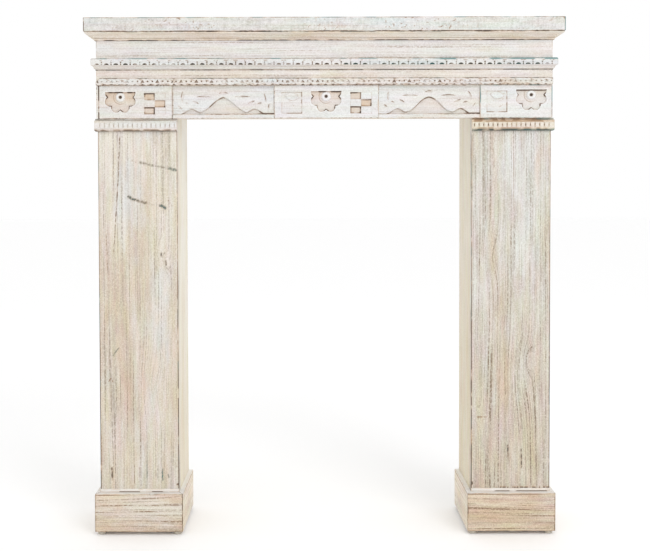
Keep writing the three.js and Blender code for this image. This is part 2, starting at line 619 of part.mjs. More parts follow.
for (const [label, side] of [["left", -1], ["right", 1]]) {
  const shaftBack = LEG_FRONT + BOARD;
  addPiece("capital_front_" + label, capitalFront(side), WHITEWASH);
  addPiece("capital_return_" + label, capitalReturn(side), WHITEWASH);
  const shaft = sideBoard(side, LEG_INNER, BODY_HALF, LEG_FRONT, shaftBack, GLIDE_HEIGHT, LINTEL_BOTTOM);
  addPiece("shaft_front_" + label, shaft, WHITEWASH);
  const outer = sideBoard(side, BODY_HALF - BOARD, BODY_HALF, shaftBack, BACK, GLIDE_HEIGHT, SHELF_BOTTOM);
  addPiece("side_outer_" + label, outer, YELLOWED);
  const inner = sideBoard(side, LEG_INNER, LEG_INNER + BOARD, shaftBack, BACK, GLIDE_HEIGHT, SHELF_BOTTOM);
  addPiece("side_inner_" + label, inner, YELLOWED);
  const filletTop = PLINTH_TOP + FOOT_FILLET_HEIGHT;
  const filletFront = LEG_FRONT - FOOT_FILLET_REACH;
  const fillet = sideBoard(side, LEG_INNER, BODY_HALF, filletFront, LEG_FRONT, PLINTH_TOP, filletTop);
  addPiece("foot_fillet_" + label, fillet, CREAM);
  addPiece("plinth_front_" + label, plinthFront(side), WHITEWASH);
  addPiece("plinth_outer_" + label, plinthSide(side * BODY_HALF, side * PLINTH_OUTER_REACH), CREAM);
  addPiece("plinth_inner_" + label, plinthSide(side * LEG_INNER, -side * PLINTH_INNER_REACH), CREAM);

  const glideRows = { front: LEG_FRONT - PLINTH_FRONT_REACH + GLIDE_INSET, back: BACK - GLIDE_INSET };
  const glideColumns = {
    outer: BODY_HALF + PLINTH_OUTER_REACH - GLIDE_INSET,
    inner: LEG_INNER - PLINTH_INNER_REACH + GLIDE_INSET,
  };
  for (const [row, y] of Object.entries(glideRows)) {
    for (const [column, x] of Object.entries(glideColumns)) {
      addPiece(["glide", label, row, column].join("_"), glide(side * x, y), GLIDE_GREY, 0.6);
    }
  }
}

export default mantel;
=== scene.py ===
# A free-standing fireplace surround of carved wood under worn whitewash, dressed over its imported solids.
# The frame is in metres, +Z up, front towards -Y. Sizes of carving and mouldings are given in millimetres.

import math

import bpy
import numpy as np
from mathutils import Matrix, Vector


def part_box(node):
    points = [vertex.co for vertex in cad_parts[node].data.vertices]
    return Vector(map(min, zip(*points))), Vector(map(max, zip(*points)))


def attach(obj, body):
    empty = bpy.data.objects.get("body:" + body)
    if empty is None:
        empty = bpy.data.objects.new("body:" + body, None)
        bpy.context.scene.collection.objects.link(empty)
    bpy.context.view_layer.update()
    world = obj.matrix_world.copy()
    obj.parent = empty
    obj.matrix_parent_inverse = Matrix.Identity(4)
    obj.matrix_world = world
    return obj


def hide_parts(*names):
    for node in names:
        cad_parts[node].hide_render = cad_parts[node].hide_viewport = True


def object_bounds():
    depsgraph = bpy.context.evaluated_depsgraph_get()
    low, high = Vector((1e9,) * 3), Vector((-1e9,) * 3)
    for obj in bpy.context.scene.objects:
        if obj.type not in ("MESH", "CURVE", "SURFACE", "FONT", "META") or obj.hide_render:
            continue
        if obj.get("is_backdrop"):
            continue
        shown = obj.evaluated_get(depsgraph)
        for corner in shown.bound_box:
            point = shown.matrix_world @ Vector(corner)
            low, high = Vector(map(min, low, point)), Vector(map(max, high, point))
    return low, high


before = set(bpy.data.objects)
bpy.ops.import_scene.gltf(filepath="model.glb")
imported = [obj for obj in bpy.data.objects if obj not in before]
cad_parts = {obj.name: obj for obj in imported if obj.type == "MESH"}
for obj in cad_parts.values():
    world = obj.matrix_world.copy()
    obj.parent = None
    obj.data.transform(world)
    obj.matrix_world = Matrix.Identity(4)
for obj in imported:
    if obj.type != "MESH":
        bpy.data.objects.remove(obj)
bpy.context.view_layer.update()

# Side boards of the legs: plain planks with upright grain under yellowed paint.
# The outer one runs up to the shelf, the inner one lines the opening. Both are glued behind the shaft's front
# board and are seen from the room, from the opening and, on the open back, from behind.

MM = 0.001
ARRIS = 1.0  # radius of a worn arris
PLAIN_STEP = 6.0
OUTWARD = {"front": (1, -1), "left": (0, -1), "right": (0, 1)}  # axis and sign of the way a board faces


def ease(low, high, value):
    """0 below low and 1 above high, with a smooth rise between."""
    share = np.clip((value - low) / (high - low), 0.0, 1.0)
    return share * share * (3.0 - 2.0 * share)


def fade(low, high, value):
    """1 below low and 0 above high, with a smooth fall between."""
    return 1.0 - ease(low, high, value)


MOTTLE_CELLS = (61, 67)
MOTTLE_START = 500.0  # keeps the numbers of the cells above zero


def mottle(u, v, size_u, size_v, seed):
    """Soft random patches from 0 to 1, of one size along u and another along v."""
    table = np.random.default_rng(seed).random(MOTTLE_CELLS)
    x, y = u / size_u + MOTTLE_START, v / size_v + MOTTLE_START
    column, row = np.floor(x).astype(int), np.floor(y).astype(int)
    across, up = ease(0.0, 1.0, x - column), ease(0.0, 1.0, y - row)

    def level(line):
        near, far = (table[place % MOTTLE_CELLS[0], line % MOTTLE_CELLS[1]] for place in (column, column + 1))
        return near * (1 - across) + far * across

    return level(row) * (1 - up) + level(row + 1) * up


LIP = 5.0  # how far back over a top or an underside the fine points of the front reach
SPARSE = 12
ROUNDED_SHARE = 0.4  # of a short side, the most that the rounding of a corner takes


def rounded_ring(corners, radius, step):
    """Points of a profile from its back foot round the front to its back head, its corners rounded off.
    On the top and the underside, only every SPARSE-th point is kept where it is farther back than LIP.
    Returns reach, height and how near each point is to an arris (+1) or to an inner corner (-1)."""
    points = [(*corners[0], 0.0)]
    for before, corner, after in zip(corners, corners[1:], corners[2:]):
        back, ahead = np.subtract(before, corner), np.subtract(after, corner)
        lengths = np.hypot(*back), np.hypot(*ahead)
        cut = min(radius, ROUNDED_SHARE * lengths[0], ROUNDED_SHARE * lengths[1])
        turn = (ahead[0] * back[1] - ahead[1] * back[0]) / (lengths[0] * lengths[1])
        start, end = corner + back / lengths[0] * cut, corner + ahead / lengths[1] * cut
        points.append((*start, turn / 2))
        points.append((*(start / 4 + np.array(corner) / 2 + end / 4), turn))
        points.append((*end, turn / 2))
    points.append((*corners[-1], 0.0))
    ring = [points[0]]
    for number, (here, there) in enumerate(zip(points, points[1:])):
        length = math.hypot(there[0] - here[0], there[1] - here[1])
        count = max(1, math.ceil(length / step))
        for stop in range(1, count + 1):
            share = stop / count
            from_lip = {0: length * (1.0 - share), len(points) - 2: length * share}.get(number, 0.0)
            if from_lip > LIP and stop % SPARSE and stop < count:
                continue
            place = [start + (end - start) * share for start, end in zip(here[:2], there[:2])]
            ring.append((*place, there[2] if stop == count else 0.0))
    return np.array(ring).T


def lay_mesh(name, points, quads, caps):
    """A mesh object from its points, its four-sided faces and its end faces."""
    corners = np.concatenate([quads.ravel(), *caps]).astype(np.int32)
    sizes = [4] * len(quads) + [len(cap) for cap in caps]
    mesh = bpy.data.meshes.new(name)
    mesh.vertices.add(len(points))
    mesh.vertices.foreach_set("co", points.astype(np.float32).ravel())
    mesh.loops.add(len(corners))
    mesh.loops.foreach_set("vertex_index", corners)
    mesh.polygons.add(len(sizes))
    mesh.polygons.foreach_set("loop_start", np.concatenate([[0], np.cumsum(sizes)[:-1]]).astype(np.int32))
    mesh.update(calc_edges=True)
    piece = bpy.data.objects.new(name, mesh)
    bpy.context.scene.collection.objects.link(piece)
    return piece


def dress(piece, material, slot, *nodes):
    """Gives a piece its material and its place in the frame."""
    piece.data.materials.append(material)
    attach(piece, "root")
    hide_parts(*nodes)


# How far the grain strays from straight, counted in its lines, and over what width and length
GRAIN_WAVERS = ((1.7, 85.0, 800.0), (0.5, 24.0, 300.0))
KNOT_BEND = 1.6
KNOT_LENGTH = 3.0


def wood_figure(across, along, spacing, knots, seed):
    """The run of the grain: a value that rises by one from each line of grain to the next."""
    figure = across / spacing
    for number, (stray, width, length) in enumerate(GRAIN_WAVERS):
        figure = figure + stray * mottle(across, along, width, length, seed + number)
    for x, z, size in knots:
        knot = np.exp(-(((across - x) / size) ** 2) - ((along - z) / (KNOT_LENGTH * size)) ** 2)
        figure = figure + KNOT_BEND * knot
    return figure


LEVEL = 0.001  # heights that differ by less are the same
FAR_AWAY = 1000.0
JOINT_FADE = (0.6, 2.3)  # how far from a joint its dark line starts to fade, and where it ends
LIP_FADE = (-3.0, -0.6)  # how far behind the lip that line starts to show, and where it is full
CORNER_PLACES = np.array([0.3, 1.0, 2.2])  # of finer points near an end, counted in arris radii
END_WEAR = 2.5  # how far from an end it is worn, and how far its arris is rounded back, counted likewise
END_INSET = 0.6
GRAIN_DEPTH = 0.25
DENT_DEPTH = 0.9
SHARP_ANGLE = math.radians(50)
RUN_SHIFT = 400.0  # moves the grain of each board away from that of the others
RUN_SHIFTS = 23
ROUGH_SPACING = 7.0
PAINT_LAYERS = ("hollow", "bare", "teal", "age", "stain", "fresh", "figure")
END_LAYERS = ("age", "stain", "figure")  # those that the end faces share


def mark(work, **layers):
    """Raises layers of the work wherever the given values are higher."""
    for key, values in layers.items():
        work[key] = np.maximum(work[key], values)


def with_ends(values, kept=1.0):
    """The values of a board's points, and after them those of the points of its two end faces."""
    return np.concatenate([values.reshape(-1, *values.shape[2:]), kept * values[:, 0], kept * values[:, -1]])


def lay_board(name, facing, plane, u, h, r):
    """A board's surface through its rows and columns of points, closed by a face at each end."""
    axis, sign = OUTWARD[facing]
    points = np.empty((*u.shape, 3))
    points[..., axis] = plane + sign * r
    points[..., 1 - axis] = u
    points[..., 2] = h
    rows, columns = u.shape
    index = np.arange(rows * columns).reshape(rows, columns)
    ahead = np.roll(index, -1, axis=0)
    quads = np.stack([index[:, :-1], index[:, 1:], ahead[:, 1:], ahead[:, :-1]], axis=-1).reshape(-1, 4)
    end_rings = rows * columns + np.arange(2 * rows).reshape(2, rows)
    caps = [end_rings[0, ::-1], end_rings[1]]
    if facing == "right":
        quads = quads[:, ::-1]
        caps = [cap[::-1] for cap in caps]
    piece = lay_mesh(name, with_ends(points) * MM, quads, caps)
    piece.data.shade_smooth()
    piece.data.set_sharp_from_angle(angle=SHARP_ANGLE)
    return piece


def board(node, facing, plane, corners, ends, carve=None, steps=(PLAIN_STEP, PLAIN_STEP), mitres=(0, 0),
          seed=0, arris=ARRIS, wear=0.5, chips=0.35, teal=0.15, seams=(0.3, 0.3), ends_marked=(0.3, 0.3),
          upright=False, spacing=ROUGH_SPACING, knots=()):
    """One run of wood: a profile of reach and height (mm) standing on a plane, drawn along between two ends.
    A mitred end slants with its reach. carve(work, u, h) is given each point's place u along the board and
    its height h. It sets the depth that is cut away, lowers the ceiling where a corner is cut off, and says
    how strongly each layer of the paint shows. seams and ends_marked say how dark the joints are at foot and
    head, and at the two ends. The end faces have points of their own, so no mark runs over them."""
    reach, height, edge = rounded_ring(corners, arris, steps[1])
    length = ends[1] - ends[0]
    count = max(2, math.ceil(length / steps[0]) + 1)
    corner_shares = CORNER_PLACES * arris / length
    share = np.unique(np.concatenate([np.linspace(0.0, 1.0, count), corner_shares, 1.0 - corner_shares]))
    low = ends[0] - mitres[0] * reach[:, None]
    high = ends[1] + mitres[1] * reach[:, None]
    u = low + (high - low) * share[None, :]

    def spread(values):
        return np.repeat(values[:, None], len(share), axis=1)

    h, r = spread(height), spread(reach)
    from_start, from_end = u - low, high - u
    near_end = np.minimum(FAR_AWAY if mitres[0] else from_start, FAR_AWAY if mitres[1] else from_end)
    front, foot, head = reach.max(), height.min(), height.max()
    outer = np.maximum(spread(np.maximum(edge, 0.0)), fade(0.0, END_WEAR * arris, near_end))
    inner = spread(np.maximum(-edge, 0.0))

    work = {key: np.zeros(u.shape) for key in ("depth", "hollow", "bare", "teal", "stain", "fresh")}
    work["age"] = np.ones(u.shape)
    work["ceiling"] = np.full(u.shape, head)
    over_head = (h > head - LEVEL) * (corners[-2][0] - r)
    under_foot = (h < foot + LEVEL) * (corners[1][0] - r)
    work["around"] = h + over_head - under_foot
    work["uneven"] = 0.3 + 0.7 * ease(0.2, 0.65, mottle(u, h, 9.0, 7.0, seed + 7))
    if carve:
        carve(work, u, h)

    # Dents and bare wood along the arrises, and dirt with painted shade in the inner corners
    grain = mottle(u, h, 34.0, 21.0, seed + 1)
    nicks = mottle(u, h, 3.4, 3.4, seed + 2) * (0.4 + 0.6 * mottle(u, h, 23.0, 17.0, seed + 3))
    dents = outer * ease(0.42, 0.8, nicks)
    mark(work, bare=outer * wear * ease(0.3, 0.75, mottle(u, h, 9.0, 9.0, seed + 4)))
    mark(work, hollow=chips * ease(0.2, 0.8, dents))
    mark(work, hollow=inner * (0.45 + 0.6 * grain))

    # Dark lines along the joints and at the ends, dirt with painted shade in the gaps, and traces of teal at
    # the edges
    uneven = 0.35 + 0.65 * ease(0.25, 0.7, mottle(u, h, 26.0, 26.0, seed + 6))
    uneven = uneven * (0.5 + 0.5 * ease(0.25, 0.6, mottle(u, h, 5.0, 5.0, seed + 9)))
    rim = outer
    joints = ((h - foot, seams[0], corners[1][0]), (work["ceiling"] - h, seams[1], corners[-2][0]))
    for away, strength, lip in joints:
        line = fade(*JOINT_FADE, away) * ease(*LIP_FADE, r - lip)
        mark(work, hollow=strength * line * uneven)
        rim = np.maximum(rim, line)
    for away, strength in ((from_start, ends_marked[0]), (from_end, ends_marked[1])):
        line = fade(*JOINT_FADE, away) * (0.3 + 0.7 * ease(0.0, 0.3 * arris, away))
        mark(work, hollow=strength * line * uneven)
    stained = ease(0.5, 0.8, mottle(u, h, 22.0, 22.0, seed + 5))
    upper = 1.0 if upright else 0.1 + 0.9 * ease(0.3, 0.7, (h - foot) / (head - foot))
    mark(work, teal=rim * stained * upper * teal * 2.0)

    # The worn surface itself
    shaped = np.where(work["depth"] > 0, np.minimum(r, front - work["depth"]), r)
    settled = (GRAIN_DEPTH * grain + DENT_DEPTH * wear * dents) * np.clip(r / front, 0.0, 1.0)
    r = np.maximum(shaped - settled, 0.0)
    inset = arris * fade(0.0, arris, near_end) * END_INSET
    r = np.minimum(r, np.maximum(front - inset, 0.0))
    h = np.minimum(np.clip(h, foot + inset, head - inset), work["ceiling"])

    piece = lay_board(node + "_dressed", facing, plane, u, h, r)
    along, across = (h, u) if upright else (u, work["around"])
    work["figure"] = wood_figure(across, along, spacing, knots, seed + 8)
    for key in PAINT_LAYERS:
        layer = piece.data.attributes.new(key, "FLOAT", "POINT")
        values = work[key] if key == "figure" else np.clip(work[key], 0.0, 1.0)
        values = with_ends(values, float(key in END_LAYERS))
        layer.data.foreach_set("value", values.astype(np.float32))
    run = with_ends(np.stack([along, across + RUN_SHIFT * (seed % RUN_SHIFTS), r], axis=-1) * MM)
    layer = piece.data.attributes.new("run", "FLOAT_VECTOR", "POINT")
    layer.data.foreach_set("vector", run.astype(np.float32).ravel())
    return piece


# Colours of the dirt and painted shade in the hollows, of bare wood, of the older teal and of the painted
# highlights
HOLLOW_BROWN = (0.075, 0.050, 0.036, 1)
HOLLOW_RUST = (0.42, 0.25, 0.14, 1)
BARE_TAN = (0.62, 0.40, 0.22, 1)
OLD_TEAL = (0.07, 0.21, 0.21, 1)
HIGHLIGHT_WHITE = (0.86, 0.87, 0.87, 1)
BRUSHED_HEIGHT = 0.0006  # in metres, of the grain and the specks in the paint


def worn_paint(name, coat, shade, cool, streak, lines=0.6, patches=0.5, crossed=0.0, relief=0.35):
    """Old paint over wood: a warm coat with tan, cool and faintly tinted patches, dotted lines of grain that
    show through it, dirt and painted shade in the hollows, painted highlights on rims, raised parts and lit
    tops, bare wood on the arrises and traces of an older teal coat.
    Each board carries the run of its grain (along, across, out) and its figure as attributes, so the pattern
    turns with it. lines, patches and crossed say how strongly the grain, the tan and the brush strokes across
    the grain show."""
    material = bpy.data.materials.new(name)
    material.use_nodes = True
    tree = material.node_tree
    shader = tree.nodes["Principled BSDF"]

    def node(kind, **settings):
        made = tree.nodes.new("ShaderNode" + kind)
        for key, value in settings.items():
            setattr(made, key, value)
        return made

    def layer(key):
        return node("Attribute", attribute_name=key).outputs["Fac"]

    run = node("Attribute", attribute_name="run").outputs["Vector"]
    run_parts = node("SeparateXYZ")
    tree.links.new(run, run_parts.inputs[0])

    def clouds(place, detail, output="Fac"):
        made = node("TexNoise")
        made.inputs["Scale"].default_value = 1.0
        made.inputs["Detail"].default_value = detail
        made.inputs["Roughness"].default_value = 0.6
        tree.links.new(place, made.inputs["Vector"])
        return made.outputs[output]

    def noise(along, across, detail, output="Fac"):
        """Noise of so many features a metre along and across the board."""
        mapping = node("Mapping")
        mapping.inputs["Scale"].default_value = (along, across, across)
        tree.links.new(run, mapping.inputs["Vector"])
        return clouds(mapping.outputs["Vector"], detail, output)

    def band(source, low, high, start=0.0, end=1.0):
        made = node("MapRange", interpolation_type="SMOOTHSTEP")
        made.inputs["From Min"].default_value = low
        made.inputs["From Max"].default_value = high
        made.inputs["To Min"].default_value = start
        made.inputs["To Max"].default_value = end
        tree.links.new(source, made.inputs["Value"])
        return made.outputs["Result"]

    def combine(operation, *sources):
        made = node("Math", operation=operation)
        for socket, source in zip(made.inputs, sources):
            if isinstance(source, float):
                socket.default_value = source
            else:
                tree.links.new(source, socket)
        return made.outputs[0]

    def product(*sources):
        made = sources[0]
        for source in sources[1:]:
            made = combine("MULTIPLY", made, source)
        return made

    def mix(blend, share, below, above):
        made = node("Mix", data_type="RGBA", blend_type=blend)
        for socket, source in zip((made.inputs[0], made.inputs[6], made.inputs[7]), (share, below, above)):
            if isinstance(source, (float, tuple)):
                socket.default_value = source
            else:
                tree.links.new(source, socket)
        return made.outputs[2]

    def over(share, below, color):
        return mix("MIX", share, below, color)

    def grain(along, per_line, detail):
        """Noise drawn out along the grain, which follows the figure round the knots."""
        place = node("CombineXYZ")
        tree.links.new(product(run_parts.outputs["X"], along), place.inputs["X"])
        tree.links.new(product(layer("figure"), per_line), place.inputs["Y"])
        return clouds(place.outputs[0], detail)

    # Strong and fine lines of grain, broken into dots
    worn = product(layer("age"), lines)
    dots = band(noise(180.0, 300.0, 2.0), 0.40, 0.56, 0.25, 1.0)
    fading = band(noise(7.0, 60.0, 2.0), 0.35, 0.60, 0.2, 1.0)
    strong = product(band(grain(1.8, 2.2, 2.0), 0.56, 0.64), dots, fading)
    fine = product(band(grain(4.0, 5.0, 2.0), 0.50, 0.64), dots)

    # The coat with its patches, tints and specks
    tan_patches = product(band(noise(2.6, 17.0, 4.0), 0.44, 0.66, 0.0, patches), layer("age"))
    cool_patches = band(noise(6.0, 12.0, 3.0), 0.48, 0.62, 0.0, 0.9)
    specks = noise(330.0, 330.0, 2.0)
    color = over(cool_patches, coat, cool)
    color = over(tan_patches, color, shade)
    color = over(layer("stain"), color, shade)
    color = mix("OVERLAY", 0.17, color, noise(11.0, 60.0, 3.0, "Color"))
    color = mix("OVERLAY", 0.3, color, noise(16.0, 90.0, 3.0))
    color = mix("OVERLAY", 0.6, color, specks)
    if crossed:
        color = mix("OVERLAY", crossed, color, noise(190.0, 60.0, 3.0))
        color = mix("OVERLAY", crossed, color, noise(50.0, 90.0, 3.0))

    # What shows through the coat: grain, bare wood, dirt and the older teal, with painted highlights over it
    # and painted shade in the hollows along with the dirt
    color = over(product(fine, worn, 0.5), color, streak)
    color = over(product(strong, worn), color, streak)
    # Painted highlights on rims, raised parts and lit tops
    color = over(layer("fresh"), color, HIGHLIGHT_WHITE)
    color = over(layer("bare"), color, BARE_TAN)
    # Dirt and painted shade in the hollows, rust-coloured where faint and brown where strong
    color = over(band(layer("hollow"), 0.0, 0.6, 0.0, 0.7), color, HOLLOW_RUST)
    color = over(band(layer("hollow"), 0.2, 1.0), color, HOLLOW_BROWN)
    color = over(layer("teal"), color, OLD_TEAL)
    tree.links.new(color, shader.inputs["Base Color"])

    tree.links.new(band(specks, 0.3, 0.7, 0.55, 0.85), shader.inputs["Roughness"])
    height = combine("MULTIPLY_ADD", strong, -1.2, combine("MULTIPLY_ADD", fine, -0.5, specks))
    bump = node("Bump")
    bump.inputs["Strength"].default_value = relief
    bump.inputs["Distance"].default_value = BRUSHED_HEIGHT
    tree.links.new(height, bump.inputs["Height"])
    tree.links.new(bump.outputs["Normal"], shader.inputs["Normal"])
    return material


YELLOWED_COAT = (0.82, 0.79, 0.70, 1)
YELLOWED_SHADE = (0.66, 0.57, 0.42, 1)
YELLOWED_COOL = (0.84, 0.82, 0.76, 1)
YELLOWED_STREAK = (0.56, 0.46, 0.32, 1)
yellowed_paint = worn_paint("yellowed paint", YELLOWED_COAT, YELLOWED_SHADE, YELLOWED_COOL, YELLOWED_STREAK,
                            lines=0.2, relief=0.08)
AGED_HEAD = 1000.0
# How stained the side boards of each leg are at the head and at the floor
YELLOWING = {"left": (0.12, 0.45), "right": (0.42, 0.78)}
OPPOSITE = {"left": "right", "right": "left"}


def millimetres(node):
    """The lowest and highest corner of a solid, in millimetres."""
    return [np.array(corner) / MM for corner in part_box(node)]


def square_edge(thickness, foot, head):
    """Profile of a plain board with square edges."""
    return [(0, foot), (thickness, foot), (thickness, head), (0, head)]


def plank(node, facing, carve=None, steps=(PLAIN_STEP, PLAIN_STEP), **finish):
    """A plain rectangular board that fills the box of a solid."""
    low, high = millimetres(node)
    axis, sign = OUTWARD[facing]
    plane = high[axis] if sign < 0 else low[axis]
    corners = square_edge(high[axis] - low[axis], low[2], high[2])
    return board(node, facing, plane, corners, (low[1 - axis], high[1 - axis]), carve, steps, **finish)


def aged(least, most):
    """Carving for a plain upright board: only the stain that deepens from its head to the floor."""
    def carve(work, u, h):
        blotches = 0.1 * (mottle(u, h, 60.0, 260.0, 11) - 0.5)
        work["stain"] = most - (most - least) * ease(0.0, AGED_HEAD, h) + blotches
    return carve


for side, stains in YELLOWING.items():
    for part, facing in (("outer", side), ("inner", OPPOSITE[side])):
        node = f"side_{part}_{side}"
        lining = plank(node, facing, aged(*stains), seed=len(node) + 3, chips=0.2, upright=True, spacing=16.0)
        dress(lining, yellowed_paint, "yellowed_paint", node)

# Front boards of the legs: wide planks with upright grain, cracks and tool marks under thin whitewash.
# They are glued in front of the side boards and run from the glides up to the lintel.

SHAFT_STEPS = (1.6, 3.2)
SHAFT_COATS = {"left": (0.72, 0.67, 0.60, 1), "right": (0.625, 0.597, 0.55, 1)}
SHAFT_SHADE = (0.55, 0.44, 0.31, 1)
SHAFT_COOL = (0.68, 0.68, 0.655, 1)
SHAFT_STREAK = (0.25, 0.19, 0.135, 1)

# Cracks and scratches: two ends (x, z), half width, depth, and how dark and how teal they are
LEFT_SCRATCHES = [
    ((-475.8, 927.0), (-479.5, 836.0), 1.2, 1.0, 0.75, 0.1),
    ((-479.5, 836.0), (-486.5, 732.0), 1.2, 1.0, 0.8, 0.1),
    ((-486.5, 732.0), (-492.1, 651.5), 1.1, 0.8, 0.65, 0.1),
    ((-509.0, 700.0), (-505.5, 610.0), 1.1, 0.8, 0.65, 0.1),
    ((-381.5, 657.0), (-380.3, 650.0), 1.7, 1.2, 0.9, 0.3),
    ((-370.4, 638.0), (-369.4, 629.0), 1.5, 1.2, 0.85, 0.3),
    ((-449.0, 872.0), (-437.0, 869.0), 1.0, 1.0, 0.5, 0.1),
    ((-428.0, 868.0), (-400.0, 861.0), 3.0, 1.4, 0.55, 0.3),
    ((-400.0, 861.0), (-367.0, 855.5), 2.6, 1.0, 0.45, 0.25),
    ((-362.0, 854.5), (-346.0, 850.0), 3.0, 1.8, 0.6, 0.55),
    ((-456.0, 788.5), (-446.0, 783.0), 3.2, 1.8, 0.95, 0.5),
    ((-446.0, 783.0), (-414.0, 773.5), 3.0, 1.6, 0.8, 0.3),
    ((-414.0, 773.5), (-388.0, 768.0), 1.6, 0.8, 0.3, 0.1),
    ((-382.5, 768.5), (-370.0, 762.0), 3.2, 1.8, 0.9, 0.6),
    ((-363.5, 779.6), (-355.5, 767.0), 1.0, 1.0, 0.6, 0.1),
    ((-495.4, 417.6), (-481.0, 435.7), 1.1, 1.2, 0.55, 0.5),
    ((-505.0, 357.0), (-500.5, 364.5), 1.3, 1.2, 0.7, 0.0),
    ((-500.5, 364.5), (-496.0, 356.0), 1.2, 1.2, 0.65, 0.0),
    ((-499.0, 352.0), (-499.0, 285.0), 0.8, 0.8, 0.4, 0.1),
    ((-499.8, 152.0), (-498.8, 126.0), 2.2, 1.2, 0.85, 0.1),
    ((-463.7, 158.0), (-463.7, 118.0), 1.0, 0.8, 0.4, 0.1),
    ((-446.7, 160.0), (-446.5, 116.0), 1.1, 0.8, 0.6, 0.1),
    ((-435.1, 155.0), (-435.0, 118.0), 1.2, 0.8, 0.42, 0.1),
    ((-425.0, 148.0), (-425.0, 119.0), 1.0, 0.8, 0.3, 0.1),
    ((-417.2, 168.0), (-417.0, 129.0), 1.2, 0.8, 0.5, 0.6),
    ((-398.5, 146.0), (-395.5, 133.0), 1.6, 0.8, 0.45, 0.2),
    ((-392.5, 150.0), (-392.5, 128.0), 1.1, 0.8, 0.4, 0.3),
    ((-381.4, 151.0), (-381.0, 124.0), 1.5, 1.0, 0.85, 0.8),
    ((-368.5, 138.0), (-366.0, 131.0), 1.5, 0.8, 0.6, 0.4),
    ((-351.0, 162.0), (-347.0, 155.0), 1.4, 0.8, 0.4, 0.0),
    ((-347.0, 114.0), (-342.0, 113.0), 2.6, 1.0, 1.0, 0.0),
]
RIGHT_SCRATCHES = [
    ((356.0, 271.0), (378.0, 271.0), 1.1, 1.2, 0.6, 0.0),
    ((428.0, 205.0), (429.4, 170.0), 1.5, 1.0, 0.9, 0.2),
    ((459.4, 196.0), (461.0, 152.0), 1.5, 1.0, 0.9, 0.2),
    ((344.0, 118.0), (345.0, 113.0), 2.4, 1.0, 1.0, 0.1),
    ((461.0, 296.0), (458.0, 240.0), 1.1, 1.0, 0.45, 0.1),
    ((420.0, 377.0), (423.0, 325.0), 0.9, 1.0, 0.45, 0.2),
    ((390.0, 420.0), (388.0, 330.0), 0.9, 1.0, 0.35, 0.1),
    ((392.0, 900.0), (395.0, 855.0), 1.0, 1.0, 0.5, 0.1),
    ((440.0, 893.0), (441.0, 778.0), 0.8, 0.8, 0.45, 0.0),
    ((342.8, 812.0), (343.2, 778.0), 1.4, 1.2, 0.75, 0.4),
]
# Patches where the wash has worn thin: place (x, z), half width, half height and strength
LEFT_WORN = [
    (-415, 612, 17, 130, 0.20), (-411, 412, 14, 55, 0.22),
    (-354, 404, 9, 140, 0.16), (-449, 380, 25, 90, 0.10),
]
RIGHT_WORN = [
    (414, 366, 14, 60, 0.24), (427, 679, 10, 60, 0.20),
    (494, 838, 8, 60, 0.16), (398, 590, 22, 80, 0.14),
]
# Knots that the grain bends round: place (x, z) and size
LEFT_KNOTS = [(-381.5, 653.8, 9.0), (-369.4, 634.0, 8.0), (-487.4, 528.1, 8.0), (-404.0, 345.0, 22.0)]
RIGHT_KNOTS = [(459.6, 372.2, 30.0), (475.9, 404.8, 10.0), (390.0, 650.0, 18.0), (356.0, 272.0, 9.0)]


def line_distance(u, h, start, end):
    """Distance from a straight line between two points."""
    du, dh = end[0] - start[0], end[1] - start[1]
    share = np.clip(((u - start[0]) * du + (h - start[1]) * dh) / (du * du + dh * dh), 0.0, 1.0)
    return np.hypot(u - start[0] - share * du, h - start[1] - share * dh)


SHAFT_SEEN_FROM = millimetres("foot_fillet_left")[1][2]  # height from which a shaft shows above its fillet
# For each shaft: its marks, how stained and how grained it is, and where the dirt along its foot begins
SHAFTS = {
    "left": (LEFT_SCRATCHES, LEFT_WORN, LEFT_KNOTS, 0.28, 0.85, 0.0),
    "right": (RIGHT_SCRATCHES, RIGHT_WORN, RIGHT_KNOTS, 0.48, 1.2, 395.0),
}


def shaft_carving(scratches, worn, stain, dotted):
    """Carving for a shaft: ridges of grain, cuts, cracks and worn patches, with dirt along foot and edges."""
    def carve(work, u, h):
        ridges = mottle(u, h, 3.1, 150.0, 31) * mottle(u, h, 11.0, 260.0, 32)
        work["depth"] = 0.05 + 0.5 * ease(0.45, 0.75, ridges)
        work["age"] = 1.0 - 0.25 * ease(300.0, 950.0, h)
        work["stain"] = stain * fade(100.0, 1000.0, h)
        hatching = 0.35 + 0.65 * ease(0.3, 0.6, mottle(u, h, 2.6, 2.6, 33))
        for start, end, width, depth, dark, teal in scratches:
            groove = fade(0.4 * width, 1.5 * width, line_distance(u, h, start, end))
            mark(work, depth=depth * groove, hollow=dark * groove * hatching, teal=teal * groove * hatching)
        for x, z, width, height, strength in worn:
            patch = np.exp(-((u - x) / width) ** 2 - ((h - z) / height) ** 2)
            mark(work, bare=strength * patch * (0.5 + 0.5 * mottle(u, h, 5.0, 70.0, 34)))
        darkening = ease(0.45, 0.6, mottle(u, h, 3.4, 9.0, 35)) * fade(2.5, 5.0, h - SHAFT_SEEN_FROM)
        mark(work, hollow=0.8 * darkening * ease(dotted, dotted + 12.0, u))
        edge = fade(1.2, 2.6, np.minimum(u - u.min(), u.max() - u))
        edge = edge * (1.0 - 0.5 * ease(350.0, 800.0, h)) * ease(0.1, 0.35, mottle(u, h, 9.0, 14.0, 36))
        mark(work, hollow=0.9 * edge)
    return carve


